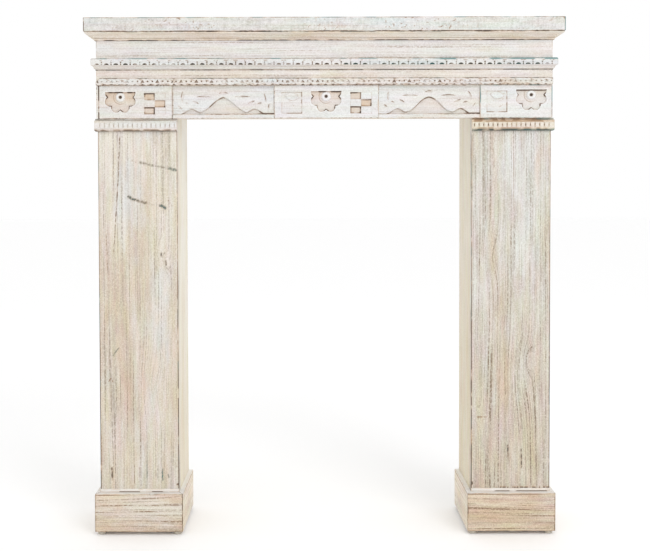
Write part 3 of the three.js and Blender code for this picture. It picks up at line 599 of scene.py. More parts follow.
for side, (scratches, worn, knots, stain, lines, dotted) in SHAFTS.items():
    node = "shaft_front_" + side
    shaft_paint = worn_paint(f"whitewash on the {side} shaft", SHAFT_COATS[side], SHAFT_SHADE, SHAFT_COOL,
                             SHAFT_STREAK, lines=lines, patches=0.6)
    carve = shaft_carving(scratches, worn, stain, dotted)
    shaft = plank(node, "front", carve, SHAFT_STEPS, seed=41 + len(side), chips=0.8, teal=0.3,
                  seams=(0.5, 0.6), ends_marked=(0.5, 0.7), upright=True, spacing=9.0, knots=knots)
    dress(shaft, shaft_paint, "whitewash_paint", node)

# Plinths and foot fillets: three boards mitred round the foot of each leg, with a thin strip above the front
# one. They are softwood with level grain, nailed on, and worn along the edges and the mitres.

FOOT_STEPS = (2.4, 1.7)
FOOT_COAT = (0.69, 0.58, 0.46, 1)
FOOT_SHADE = (0.55, 0.42, 0.29, 1)
FOOT_COOL = (0.70, 0.65, 0.57, 1)
FOOT_STREAK = (0.27, 0.18, 0.11, 1)
foot_paint = worn_paint("whitewash on the feet", FOOT_COAT, FOOT_SHADE, FOOT_COOL, FOOT_STREAK,
                        lines=1.5, patches=0.8)
CREAM_COAT = (0.84, 0.77, 0.67, 1)
CREAM_SHADE = (0.66, 0.53, 0.38, 1)
cream_paint = worn_paint("cream paint", CREAM_COAT, CREAM_SHADE, FOOT_COOL, FOOT_STREAK, lines=0.9)
MITRE_GAP = 0.4
LEDGE_STAIN = {"left": 0.12, "right": 0.6, "sides": 0.2}
# Runs along which painted shadow darkens the gap under a foot fillet
FILLET_GAPS = {"left": [(-483, -433), (-406, -379)], "right": [(396, 432), (446, 520)]}


def ledge(head, stain):
    """Carving for a plinth board: a painted highlight along its lit upper edge, with a brown line below it.
    """
    def carve(work, u, h):
        work["stain"] = stain * mottle(u, h, 40.0, 14.0, 53)
        # painted highlight on the upper edge, where the top catches the light
        work["fresh"] = 0.6 * ease(-0.9, -0.3, h - head)
        line = ease(-4.6, -3.4, h - head) * fade(-2.4, -1.2, h - head)
        work["hollow"] = 0.75 * line * (0.4 + 0.6 * ease(0.2, 0.6, mottle(u, h, 30.0, 30.0, 54)))
    return carve


def dashes(runs):
    """Carving for a foot fillet: a painted highlight over all of it, with painted shadow in the gaps below it
    along the given runs.
    """
    def carve(work, u, h):
        work["fresh"] = 0.5 * np.ones(u.shape)
        for start, end in runs:
            along = ease(0.0, 2.0, u - start) * ease(0.0, 2.0, end - u)
            # painted shadow in the gap between the fillet and the plinth
            gap = along * fade(1.6, 3.0, h - h.min())
            mark(work, hollow=0.95 * gap)
    return carve


for side in OPPOSITE:
    leg_low, leg_high = millimetres("shaft_front_" + side)
    node = "plinth_front_" + side
    low, high = millimetres(node)
    depth = high[1] - low[1]
    slants = ((leg_low[0] - low[0]) / depth, (high[0] - leg_high[0]) / depth)
    ends = (leg_low[0] + MITRE_GAP, leg_high[0] - MITRE_GAP)
    plinth = board(node, "front", high[1], square_edge(depth, low[2], high[2]), ends,
                   ledge(high[2], LEDGE_STAIN[side]), FOOT_STEPS, slants, seed=51, chips=0.7, teal=0.1,
                   seams=(0.8, 0.0), ends_marked=(1.2, 1.0), spacing=12.0)
    dress(plinth, foot_paint, "whitewash_paint", node)
    for part, facing in (("outer", side), ("inner", OPPOSITE[side])):
        node = f"plinth_{part}_{side}"
        low, high = millimetres(node)
        depth = high[0] - low[0]
        plane = low[0] if facing == "right" else high[0]
        slants = ((leg_low[1] - low[1]) / depth, 0)
        plinth = board(node, facing, plane, square_edge(depth, low[2], high[2]), (leg_low[1], high[1]),
                       ledge(high[2], LEDGE_STAIN["sides"]), FOOT_STEPS, slants, seed=57, teal=0.0,
                       seams=(0.4, 0.0), spacing=12.0)
        dress(plinth, cream_paint, "cream_paint", node)
    node = "foot_fillet_" + side
    fillet = plank(node, "front", dashes(FILLET_GAPS[side]), FOOT_STEPS, seed=61, chips=0.3, teal=0.0,
                   seams=(0.3, 0.1))
    dress(fillet, cream_paint, "cream_paint", node)

# Glides: low round feet of grey moulded plastic, one under each corner of the plinths.
# Each is turned with a soft lower edge and a shallow ring round its side.

# Radius and height, from the middle of the underside to the top
GLIDE_PROFILE = [
    (0, 0), (6.5, 0), (8.2, 0.25), (9.4, 1.0), (9.9, 2.2), (9.9, 4.2), (9.5, 4.8), (9.9, 5.4), (9.9, 7.9),
]
GLIDE_TURNS = 40
GLIDE_SHARP_ANGLE = math.radians(45)
GLIDE_GREY = (0.50, 0.46, 0.39, 1)

glide_plastic = bpy.data.materials.new("grey glide plastic")
glide_plastic.use_nodes = True
glide_nodes = glide_plastic.node_tree.nodes
glide_links = glide_plastic.node_tree.links
glide_shader = glide_nodes["Principled BSDF"]
glide_shader.inputs["Base Color"].default_value = GLIDE_GREY
glide_scuff = glide_nodes.new("ShaderNodeTexNoise")
glide_scuff.inputs["Scale"].default_value = 300.0
glide_place = glide_nodes.new("ShaderNodeTexCoord")
glide_bump = glide_nodes.new("ShaderNodeBump")
glide_bump.inputs["Strength"].default_value = 0.2
glide_bump.inputs["Distance"].default_value = 0.0003
glide_links.new(glide_place.outputs["Object"], glide_scuff.inputs["Vector"])
glide_links.new(glide_scuff.outputs["Fac"], glide_shader.inputs["Roughness"])
glide_links.new(glide_scuff.outputs["Fac"], glide_bump.inputs["Height"])
glide_links.new(glide_bump.outputs["Normal"], glide_shader.inputs["Normal"])


def turned(name, profile, centre, turns):
    """A solid turned about an upright axis, from a profile of radius and height that starts on the axis."""
    radius, height = np.array(profile[1:], float).T
    angle = np.linspace(0, 2 * math.pi, turns, endpoint=False)
    x = centre[0] + radius[:, None] * np.cos(angle)
    y = centre[1] + radius[:, None] * np.sin(angle)
    rings = np.stack([x, y, np.repeat(height[:, None], turns, axis=1)], axis=-1)
    index = np.arange(len(radius) * turns).reshape(len(radius), turns)
    ahead = np.roll(index, -1, axis=1)
    quads = np.stack([index[:-1], ahead[:-1], ahead[1:], index[1:]], axis=-1).reshape(-1, 4)
    return lay_mesh(name, rings.reshape(-1, 3) * MM, quads, [index[0, ::-1], index[-1]])


for side in OPPOSITE:
    for row in ("front", "back"):
        for column in ("outer", "inner"):
            node = f"glide_{side}_{row}_{column}"
            low, high = millimetres(node)
            foot = turned(node + "_dressed", GLIDE_PROFILE, (low + high) / 2, GLIDE_TURNS)
            foot.data.shade_smooth()
            foot.data.set_sharp_from_angle(angle=GLIDE_SHARP_ANGLE)
            dress(foot, glide_plastic, "glide_plastic", node)

# Capitals: a tongue moulding at the head of each leg, cut as a row of small tongues between two flat bands.
# It is planed softwood, mitred at the outer corner and returned along the outer side.

CAPITAL_STEPS = (1.1, 1.0)
CAPITAL_REACH = 7
CAPITAL_STEP = 2
CAPITAL_HEAD = 4
TONGUE_PITCH = 10.8
TONGUE_GAP = 2.2
TONGUE_DEPTH = 2.4
TONGUE_FOOT = 8.2
TONGUE_HEAD = 18.8
TONGUE_MIDDLE = (TONGUE_FOOT + TONGUE_HEAD) / 2
CAPITAL_BAND = 4.0  # height of the middle of the lower flat band
CAPITAL_LINE = 6.6  # height of the dark line between that band and the tongues
CARVED_COAT = (0.71, 0.705, 0.69, 1)
CARVED_SHADE = (0.68, 0.58, 0.46, 1)
CARVED_COOL = (0.70, 0.715, 0.71, 1)
CARVED_STREAK = (0.40, 0.30, 0.23, 1)
carved_paint = worn_paint("whitewash on the carving", CARVED_COAT, CARVED_SHADE, CARVED_COOL, CARVED_STREAK,
                          lines=0.35, patches=0.3)
CAPITAL_DIRT = {"left": 0.1, "right": 1.0}
CAPITAL_MITRES = {"left": (1, 0), "right": (0, 1)}


def from_nearest(u, start, pitch, count=None):
    """How far each point lies from the nearest mark of a row, which is endless where no count is given."""
    number = np.round((u - start) / pitch)
    if count:
        number = np.clip(number, 0, count - 1)
    return u - start - number * pitch


def row_start(low, high, pitch, count):
    """Place of the first mark of a row that is centred between two ends."""
    return (low + high - (count - 1) * pitch) / 2


def tongues(low, high, foot, dark):
    """Carving for a row of tongues between two ends. dark says how dirty the moulding is."""
    count = math.floor((high - low) / TONGUE_PITCH)
    start = row_start(low, high, TONGUE_PITCH, count)

    def carve(work, u, h):
        z = h - foot
        beside = TONGUE_GAP / 2 - np.abs(from_nearest(u, start, TONGUE_PITCH, count))
        inside = np.minimum(beside, np.minimum(z - TONGUE_FOOT, TONGUE_HEAD - z))
        cut = ease(-0.5, 0.7, inside)
        lowest = fade(3.6, 5.4, z)
        below = fade(1.0, 3.4, np.abs(z - CAPITAL_BAND))
        line = fade(0.5, 1.6, np.abs(z - CAPITAL_LINE))
        middle = fade(1.6, 3.4, np.abs(z - TONGUE_MIDDLE))
        above = ease(TONGUE_HEAD + 0.6, TONGUE_HEAD + 2.0, z)
        work["depth"] = TONGUE_DEPTH * cut
        work["hollow"] = ((0.2 - 0.15 * dark) + (0.1 + 0.7 * dark) * middle) * cut * work["uneven"]
        mark(work, hollow=0.5 * dark * np.maximum(line, above) * work["uneven"])
        mark(work, hollow=(0.65 + 0.35 * dark) * lowest * work["uneven"])
        work["bare"] = np.maximum(0.25 * below, 0.75 * dark * above) * work["uneven"]
        # painted highlight on the raised parts between the tongues
        work["fresh"] = 0.25 * (1.0 - cut) * ease(TONGUE_FOOT - 1.0, TONGUE_FOOT, z)
        work["fresh"] *= fade(TONGUE_HEAD, TONGUE_HEAD + 1.0, z)
        work["stain"] = 0.9 * dark * np.ones(u.shape)
        work["teal"] = 0.8 * dark * lowest * mottle(u, h, 30.0, 30.0, 72)
    return carve


for side, dark in CAPITAL_DIRT.items():
    finish = {"arris": 0.5, "chips": 0.7, "teal": 0.1 + 0.8 * dark, "seams": (1.0 + 0.6 * dark, 1.0)}
    shaft_low, shaft_high = millimetres("shaft_front_" + side)
    node = "capital_front_" + side
    low, high = millimetres(node)
    inward, foot, head = CAPITAL_REACH - CAPITAL_STEP, low[2], high[2]
    corners = [(0, foot), (inward, foot), (CAPITAL_REACH, foot + CAPITAL_STEP),
               (CAPITAL_REACH, head - CAPITAL_HEAD), (inward, head - CAPITAL_HEAD), (inward, head), (0, head)]
    ends = (shaft_low[0], shaft_high[0])
    capital = board(node, "front", high[1], corners, ends, tongues(*ends, foot, dark), CAPITAL_STEPS,
                    CAPITAL_MITRES[side], seed=71, **finish)
    dress(capital, carved_paint, "whitewash_paint", node)
    node = "capital_return_" + side
    ends = (shaft_low[1], millimetres(node)[1][1])
    plane = shaft_low[0] if side == "left" else shaft_high[0]
    capital = board(node, side, plane, corners, ends, tongues(*ends, foot, dark), CAPITAL_STEPS, (1, 0),
                    seed=73, **finish)
    dress(capital, carved_paint, "whitewash_paint", node)

# Lintel: the plain board behind the carved row that joins the two legs, seen from behind and from below.
# It is a softwood plank with level grain under one thin coat.

lintel = plank("lintel_board", "front", seed=81)
dress(lintel, cream_paint, "cream_paint", "lintel_board")

# Carved blocks: three blocks with a half flower, a chequer and a small square cut into the front.
# They are hardwood, carved by hand, and glued to the lintel with the panels between them.

BLOCK_STEPS = (1.15, 1.1)
DEEP = 4.0
CUSP_RADIUS = 30.0
PETAL_BULGE = 7.5
PETALS_PER_TURN = 8
FLOWER_HEAD = 11.5  # of the flat top above the flower's centre
# Radii and heights of the disc at the flower's heart and of the bored boss on it
DISC_EDGE = (14.6, 15.8)
DISC_RISE = 1.1
DISC_GROOVE = 16.2
BOSS_GROOVE = 12.0
BOSS_EDGE = (8.6, 11.4)
BOSS_BORE = (3.0, 4.6)
BOSS_RISE = 3.4
HEART = 11.5
RIB_RISE = 0.9
DISC_SHADE = math.radians(140)  # away from which side the grooves are darkest, as painted shade
CELL = (24.4, 16.2)
CELL_RIDGE = 0.4
SUNK_CELLS = [(0, 0, 0.35), (1, 1, 0.6), (0, 2, 0.5)]  # column, row, and how bare the wood is in it
CHEQUER_DEPTH = 3.0
SQUARE = (47.5, 49.5)
SQUARE_DEPTH = 1.8
OVAL = (24.0, 39.0, 31.0, 16.0, -8.0)  # place in the square, length, width, turn
# Places of each block's motifs and scored line, how bare its flower is, and how its ends and edges show
BLOCKS = {
    "left": {"flower": (-471, 1018.2), "chequer": (-416, 978.7), "square": None, "score": -520.5,
             "tan": 0.36, "ends": (0.6, 0.9), "teal": 0.0},
    "centre": {"flower": (4, 1019.2), "chequer": (60, 979.8), "square": (-99, 979.5), "score": None,
               "tan": 0.3, "ends": (0.3, 0.25), "teal": 0.0},
    "right": {"flower": (477.5, 1021.7), "chequer": None, "square": (374.5, 982), "score": None,
              "tan": 0.16, "ends": (0.4, 1.5), "teal": 0.9},
}
KNIFE_DEPTH = 0.6
SHADED_SIDE = 2.6  # how wide the dark line of painted shade along the shaded sides of a sunk square is


def sink(work, inside, depth, darkening, bare, wall=1.2):
    """Cuts a hollow where inside (mm from its outline) is above 0, with dirt and painted shade at its foot
    and a bare floor.
    """
    cut = ease(0.0, wall, inside)
    # dark line round the outline: dirt and painted shade at the foot of the wall
    line = ease(-1.0, 0.2, inside) * fade(1.2, 2.8, inside)
    mark(work, depth=depth * cut, hollow=darkening * line * work["uneven"],
         bare=bare * cut * (0.7 + 0.4 * work["uneven"]))


def box_inside(x, z, width, height):
    """How far inside a rectangle each point lies, from the place of its lower left corner."""
    return np.minimum(np.minimum(x, width - x), np.minimum(z, height - z))


def almond_inside(x, z, middle_x, middle_z, length, width, turn):
    """How far inside a pointed oval each point lies."""
    cosine, sine = math.cos(math.radians(turn)), math.sin(math.radians(turn))
    along = (x - middle_x) * cosine + (z - middle_z) * sine
    across = (z - middle_z) * cosine - (x - middle_x) * sine
    return width / 2 * (1.0 - (2.0 * along / length) ** 2) - np.abs(across)


def flower(work, u, h, centre, tan):
    """A sunk half flower with a flat top, ribs between its petals, and a bored boss on a disc."""
    x, z = u - centre[0], h - centre[1]
    r, angle = np.hypot(x, z), np.arctan2(z, x)
    bulge = np.abs(np.sin(angle * PETALS_PER_TURN / 2))
    rim, head = CUSP_RADIUS + PETAL_BULGE * bulge - r, FLOWER_HEAD - z
    inside = np.minimum(rim, head)
    # painted shade as well as dirt: strongest at the cusps and under the flat top, where the shadows are
    # deep, weak along the petals
    strokes = fade(0.25, 0.8, bulge)
    darkening = np.where(head < rim, 1.3, 0.35 + 2.4 * strokes)
    sink(work, inside, DEEP, darkening, tan * (0.6 + 0.8 * ease(-20.0, 12.0, z)))
    # painted highlight on the rim round the flower
    mark(work, fresh=0.4 * ease(-4.0, -1.0, inside) * (inside < 0))
    petal = ease(15.0, 19.0, r) * ease(0.0, 2.0, inside)
    disc = fade(*DISC_EDGE, r) * (inside > 0)
    work["depth"] -= RIB_RISE * petal * fade(0.0, 0.38, bulge) + DISC_RISE * disc
    boss = BOSS_RISE * (ease(*BOSS_BORE, r) - ease(*BOSS_EDGE, r))
    work["depth"] = np.where(r < HEART, DEEP - 0.6 - np.maximum(boss, 0.0), work["depth"])
    # painted shade in the grooves round the disc and the boss, darkest on one side, and a painted highlight
    # on the boss
    shadow = 0.25 + 0.75 * ease(-0.3, 0.9, np.cos(angle + DISC_SHADE))
    grooves = fade(0.2, 1.3, np.abs(r - DISC_GROOVE))
    grooves = grooves + 0.5 * fade(0.2, 1.3, np.abs(r - BOSS_GROOVE))
    bore = fade(2.8, 4.4, r)
    mark(work, hollow=0.5 * grooves * shadow * (inside > 0), fresh=0.4 * (r < 10.6) * (r > 4.6))
    mark(work, hollow=0.95 * bore)
    work["bare"] = np.where(r < 11.0, 0.0, work["bare"])


def chequer(work, u, h, corner):
    """Two columns of three cells, marked out with a knife, of which three are sunk."""
    x, z = u - corner[0], h - corner[1]
    within = box_inside(x, z, 2 * CELL[0], 3 * CELL[1])
    from_lines = np.minimum(*(np.abs(from_nearest(place, 0.0, size)) for place, size in zip((x, z), CELL)))
    score = fade(0.3, 1.3, from_lines) * (within > -1.0)
    mark(work, depth=KNIFE_DEPTH * score, hollow=0.3 * score * work["uneven"])
    width, height = CELL[0] - 2 * CELL_RIDGE, CELL[1] - 2 * CELL_RIDGE
    for column, row, bare in SUNK_CELLS:
        across, up = x - column * CELL[0] - CELL_RIDGE, z - row * CELL[1] - CELL_RIDGE
        # painted shade darkens the line along the upper and right sides of each sunk cell
        darkening = np.where((height - up < SHADED_SIDE) | (width - across < SHADED_SIDE), 1.6, 0.6)
        sink(work, box_inside(across, up, width, height), CHEQUER_DEPTH, darkening, bare, 0.8)


def small_square(work, u, h, corner):
    """A sunk square round a leaf that is left standing."""
    x, z = u - corner[0], h - corner[1]
    inside = box_inside(x, z, *SQUARE)
    leaf = almond_inside(x, z, *OVAL)
    inside = np.where(leaf > -3.0, np.minimum(inside, -leaf), inside)
    # painted shade darkens the line along the right and lower sides of the square
    darkening = np.where((SQUARE[0] - x < SHADED_SIDE) | (z < SHADED_SIDE), 0.6, 0.3)
    sink(work, inside, SQUARE_DEPTH, darkening, 0.04)
    mark(work, hollow=0.3 * ease(0.70, 0.85, mottle(u, h, 4.2, 2.8, 98)) * ease(3.0, 6.0, inside))


def block_carving(motifs):
    """Carving for one block from the places of its motifs."""
    def carve(work, u, h):
        if motifs["chequer"]:
            chequer(work, u, h, motifs["chequer"])
        if motifs["square"]:
            small_square(work, u, h, motifs["square"])
        flower(work, u, h, motifs["flower"], motifs["tan"])
        if motifs["score"]:
            line = fade(0.7, 1.7, np.abs(u - motifs["score"])) * work["uneven"]
            mark(work, depth=KNIFE_DEPTH * line, hollow=1.3 * line)
        work["depth"] = np.maximum(work["depth"], 0.0)
    return carve


for name, motifs in BLOCKS.items():
    node = "block_" + name
    block = plank(node, "front", block_carving(motifs), BLOCK_STEPS, seed=91 + len(name), chips=0.9,
                  teal=motifs["teal"], seams=(0.45, 0.3), ends_marked=motifs["ends"])
    dress(block, carved_paint, "whitewash_paint", node)

# Panels and rails: between the blocks, set back a little, with three sunk arches and gouge marks above them.
# A thin rail runs under each. Both are carved softwood, glued to the lintel.

PANEL_STEPS = (1.15, 1.1)
ARCHES = [(-98, 1), (-72.5, 13), (-53.3, 4.7), (0, 40), (53.3, 4.7), (72.5, 13.3), (98, 1)]
ARCH_SLOPE = 0.82  # turns a height below the arches' outline into a distance from it
STROKE_WAVE = 17.0  # how quickly the dirt and painted shade along the arches come and go
GOUGE_DEPTH = 2.0
# Place from the arch's middle and the rail, length, width and turn of each gouge
GOUGES = [
    (0.6, 48, 21, 6, 0), (-44, 40, 33, 4, 0), (44.5, 40, 32, 4, 0), (-64, 27.3, 16, 4.4, -26),
    (65, 27, 17, 4.4, 22), (-84, 25, 8, 3.6, -20), (84, 24.5, 10, 3.6, 15),
]
LEFT_GOUGES = [
    (-93.5, 40, 25, 7, 90), (-100.5, 15.2, 13, 5, -40), (96, 40, 22, 3.4, -74), (105.5, 17.5, 12, 3.4, 80),
]
RIGHT_GOUGES = [
    (94.6, 40.2, 22, 5, -66), (103.5, 17.5, 12, 3.6, 52), (-94, 39.5, 20, 4.5, 88), (-101, 16, 9, 4, -30),
]
# For each panel: its middle, how far the sides of its arches swing from the straight, how much higher its
# gouges lie than on the left panel, and the gouges that it has alone
PANELS = {"left": (-233.8, 0.06, 0.0, LEFT_GOUGES), "right": (242, 0.09, 2.3, RIGHT_GOUGES)}


def arch_height(x, swell):
    """Height of the arches' outline above the rail, at a distance from their middle."""
    line = np.full(x.shape, -5.0)
    for (x0, z0), (x1, z1) in zip(ARCHES, ARCHES[1:]):
        share = (x - x0) / (x1 - x0)
        swing = swell * abs(z1 - z0) * np.sin(share * 2 * math.pi) * (-1 if z1 > z0 else 1)
        line = np.where((share >= 0) & (share < 1), z0 + (z1 - z0) * share + swing, line)
    return line


def panel_carving(foot, centre, swell, lift, gouges):
    """Carving for one panel: its arches and its gouges."""
    def carve(work, u, h):
        x, z = u - centre, h - foot
        strokes = 0.45 + 0.55 * ease(-0.2, 0.6, np.sin(x / STROKE_WAVE + 2.2))
        sink(work, (arch_height(x, swell) - z) * ARCH_SLOPE, DEEP, 0.75 * strokes, 0.12)
        # painted shade in the lower corner by the end of the rail
        corner = fade(1.5, 4.0, z) * ease(60.0, 105.0, x)
        mark(work, hollow=0.9 * corner)
        z = z - lift
        for gouge in GOUGES + gouges:
            inside = almond_inside(x, z, *gouge)
            middle_x, middle_z, _, width, turn = gouge
            turn = math.radians(turn)
            upper = (z - middle_z) * math.cos(turn) - (x - middle_x) * math.sin(turn)
            line = ease(-1.0, 0.0, inside) * fade(0.6, 1.8, inside)
            # painted shade along the upper side of each gouge
            line = line * (0.2 + 0.8 * ease(-0.6, 0.6, upper))
            groove = ease(0.0, width / 2, inside)
            mark(work, depth=GOUGE_DEPTH * groove, hollow=0.8 * line * work["uneven"], bare=0.12 * groove)
    return carve


for name, layout in PANELS.items():
    node = "panel_" + name
    low, high = millimetres(node)
    panel = plank(node, "front", panel_carving(low[2], *layout), PANEL_STEPS, seed=101 + len(name), chips=0.9,
                  teal=0.0, seams=(0.5, 0.35), ends_marked=(0.4, 0.5))
    dress(panel, carved_paint, "whitewash_paint", node)
    node = "rail_" + name
    rail = plank(node, "front", None, FOOT_STEPS, seed=103 + len(name), chips=0.9, seams=(0.3, 0.7))
    dress(rail, carved_paint, "whitewash_paint", node)

# Leaf strip: a thin strip with triangular chips and drilled dots over a scalloped lower edge.
# It is carved hardwood in two lengths, glued over the heads of the blocks and panels.

STRIP_STEPS = (1.0, 0.9)
LEAF_PITCH = 35.0
LEAF_DEPTH = 3.0
LEAF_CHIP = (8.5, 6.8)
LEAF_CHIP_FOOT = 5.6
DOT_RADIUS = 1.7
DOT_HEIGHT = 8.6
NOTCH_HEIGHT = 2.6
NOTCH_OPENING = 0.01  # keeps the notches open at the foot of the strip
LEAF_MARGIN = 2.0
CUT_CORNER = 9.0  # the upper left corner of the strip is cut off aslant


def triangle_inside(x, z, width, height):
    """How far inside a triangle on a level base each point lies."""
    return np.minimum(z, (height - z) * width / (2 * height) - np.abs(x))


def leaf_carving(left, right, foot, head, cut_corner):
    """Carving for one length of the leaf strip."""
    lobes = round((right - left) / LEAF_PITCH * 2)
    lobe = (right - left) / lobes
    marks = math.ceil((right - left) / LEAF_PITCH)
    start = row_start(left, right, LEAF_PITCH, marks)

    def carve(work, u, h):
        z = h - foot
        along = from_nearest(u, left, lobe)
        seen = 0.25 + 0.75 * ease(0.3, 0.7, mottle(u, 0.0, 26.0, 1.0, 116))
        notch = triangle_inside(along, z + NOTCH_OPENING, lobe / 2, NOTCH_HEIGHT)
        sink(work, notch, LEAF_DEPTH, 0.6 * seen, 0.1, 0.8)
        wobble = 1.6 * (mottle(u, 0.0, LEAF_PITCH, 1.0, 113) - 0.5)
        x = from_nearest(u, start, LEAF_PITCH) + wobble
        clear = (u > left + LEAF_MARGIN) & (u < right - LEAF_MARGIN)
        chip = triangle_inside(x, z - LEAF_CHIP_FOOT, *LEAF_CHIP)
        sink(work, np.where(clear, chip, -1.0), LEAF_DEPTH, 0.65 * seen, 0.0, 1.0)
        for third in (-LEAF_PITCH / 3, LEAF_PITCH / 3):
            dot = DOT_RADIUS - np.hypot(x - third, z - DOT_HEIGHT)
            sink(work, np.where(clear, dot, -1.0), LEAF_DEPTH, 0.6 * seen, 0.0, 0.9)
        scribble = ease(0.60, 0.78, mottle(u + 2.0 * z, z, 3.2, 2.2, 114))
        mark(work, hollow=0.4 * scribble)
        warm = 0.15 + 0.2 * ease(230.0, 330.0, u)
        mark(work, bare=warm * mottle(u, h, 30.0, 8.0, 115))
        if cut_corner:
            work["ceiling"] = np.minimum(work["ceiling"], head - CUT_CORNER + np.maximum(u - left, 0.0))
    return carve


for name in ("left", "right"):
    node = "leaf_strip_" + name
    low, high = millimetres(node)
    carve = leaf_carving(low[0], high[0], low[2], high[2], name == "left")
    strip = plank(node, "front", carve, STRIP_STEPS, seed=111, arris=0.7, chips=0.7, seams=(0.6, 1.3),
                  ends_marked=(0.5, 0.4))
    dress(strip, carved_paint, "cream_paint", node)

# Band and frieze boards: the two plain boards behind and between the carved mouldings.
# They are softwood planks with level grain, glued to the lintel under a fairly even coat.

BOARD_STEPS = (3.6, 1.3)
BAND_COAT = (0.74, 0.68, 0.62, 1)
BAND_COOL = (0.76, 0.72, 0.69, 1)
band_paint = worn_paint("cream paint on the band", BAND_COAT, CARVED_SHADE, BAND_COOL, CARVED_STREAK,
                        lines=0.8, patches=0.6)
FRIEZE_COAT = (0.74, 0.72, 0.70, 1)
FRIEZE_COOL = (0.74, 0.735, 0.73, 1)
frieze_paint = worn_paint("whitewash on the frieze", FRIEZE_COAT, CARVED_SHADE, FRIEZE_COOL, CARVED_STREAK,
                          lines=0.8, patches=0.3)

band = plank("band_board", "front", None, BOARD_STEPS, seed=127)
dress(band, band_paint, "cream_paint", "band_board")
frieze = plank("frieze_board", "front", None, BOARD_STEPS, seed=129)
dress(frieze, frieze_paint, "whitewash_paint", "frieze_board")

# Egg moulding: a row of small arches with darts between them above a wave moulding.
# It is carved hardwood, mitred at both front corners and returned along the sides. Most of the teal is left
# in it.

EGG_STEPS = (1.2, 1.0)
EGG_REACH = 10.5
EGG_DEPTH = 3.0
EGG_HEAD_STEP = 1.5
EGG_PITCH = 22.0
EGG_ROW_FOOT = 10.8
EGG_ROW_HEAD = 25.1
EGG_SILL = EGG_ROW_FOOT + 0.3
EGG_RADIUS = 5.4
EGG_FOOT_STEP = 0.6
EGG_TINTED = (EGG_ROW_FOOT - 0.5, EGG_ROW_FOOT + 9.0)  # between which heights the row is tinted teal
EGG_FLATNESS = 1.45
EGG_CORE = 3.2
EGG_CORE_DROP = 1.8
DART = (3.2, 6.4)
DART_TOP = EGG_SILL + 7.6
EGG_DOT = 1.2
FADED_RUNS = [(-366, 40), (-103, 70), (105, 20), (560, 30)]  # middles and half lengths, where the row is pale
NICK_HEIGHT = 11.2  # of the line of small nicks above the arches, over the row's foot
WAVE_FOOT = 1.6
WAVE_FOOT_REACH = 1.2
WAVE_SWELL = 0.9
WAVE_POINTS = 9


def egg_corners(foot, head):
    """Profile of the egg moulding: a wave below, the row of arches, and a fillet set back above it."""
    share = np.linspace(0, 1, WAVE_POINTS)
    top_reach, top = EGG_REACH - EGG_DEPTH + 1, foot + EGG_ROW_FOOT - 1
    wave_reach = WAVE_FOOT_REACH + (top_reach - WAVE_FOOT_REACH) * share
    wave_reach = wave_reach + WAVE_SWELL * np.sin(share * 2 * math.pi)
    wave_height = foot + WAVE_FOOT + (top - foot - WAVE_FOOT) * share
    set_back, row_head = EGG_REACH - EGG_HEAD_STEP, foot + EGG_ROW_HEAD
    return [(0, foot), (WAVE_FOOT_REACH, foot), *zip(wave_reach, wave_height),
            (EGG_REACH, foot + EGG_ROW_FOOT), (EGG_REACH, row_head), (set_back, row_head), (set_back, head),
            (0, head)]


def egg_carving(low, high, foot):
    """Carving for the arches and darts between two ends."""
    count = math.floor((high - low) / EGG_PITCH - 0.5)
    start = row_start(low, high, EGG_PITCH, count + 0.5)

    def carve(work, u, h):
        z = h - foot
        x = from_nearest(u, start, EGG_PITCH, count)
        dart_x = from_nearest(u, start + EGG_PITCH / 2, EGG_PITCH, count)
        arch = EGG_RADIUS - np.hypot(x, EGG_FLATNESS * (z - EGG_SILL))
        arch = np.minimum(arch, z - EGG_SILL - EGG_FOOT_STEP)
        core = EGG_CORE - np.hypot(x, EGG_FLATNESS * (z - EGG_SILL + EGG_CORE_DROP))
        seen = 0.75 + 0.25 * ease(0.2, 0.5, mottle(u, 0.0, 70.0, 1.0, 132))
        for middle, half in FADED_RUNS:
            seen = seen - 0.55 * np.exp(-(((u - middle) / half) ** 2))
        # painted highlight round the arches
        mark(work, fresh=0.5 * ease(-3.0, -1.2, arch) * (arch < 0) * (z > EGG_SILL))
        sink(work, np.minimum(arch, -core), EGG_DEPTH, 1.2 * seen, 0.0, 0.8)
        sink(work, triangle_inside(dart_x, DART_TOP - z, *DART), EGG_DEPTH, 0.6 * seen, 0.0, 0.8)
        sink(work, EGG_DOT - np.hypot(dart_x, z - EGG_SILL - EGG_DOT), EGG_DEPTH, 0.8 * seen, 0.0, 0.8)
        nicks = ease(0.45, 0.7, mottle(u, 0.0, 3.0, 1.0, 135)) * (1.0 - 0.7 * ease(4.5, 6.5, np.abs(dart_x)))
        nick_line = fade(0.4, 1.5, np.abs(z - EGG_ROW_FOOT - NICK_HEIGHT + 1.5 * np.abs(x) / EGG_PITCH))
        mark(work, depth=0.8 * nick_line * nicks, hollow=0.5 * nick_line * nicks)
        row = (z > EGG_TINTED[0]) & (z < EGG_TINTED[1])
        tint = mottle(u, 0.0, 60.0, 1.0, 133) * (0.5 + ease(0.0, 150.0, u))
        mark(work, bare=0.12 * (z < EGG_ROW_FOOT))
        edge = ease(-3.4, -2.0, z - EGG_ROW_HEAD) * ease(120.0, 260.0, u)
        mark(work, teal=0.8 * edge * ease(0.35, 0.6, mottle(u, 0.0, 26.0, 1.0, 134)))
        mark(work, teal=0.14 * tint * row)
        mark(work, teal=0.55 * work["hollow"] * tint * row)
    return carve


def round_the_body(facing, back):
    """Plane, ends and mitres of a moulding that runs round the frieze and back along its sides."""
    body_low, body_high = millimetres("frieze_board")
    if facing == "front":
        return body_low[1], (body_low[0], body_high[0]), (1, 1)
    side = body_low if facing == "left" else body_high
    return side[0], (body_low[1], back), (1, 0)


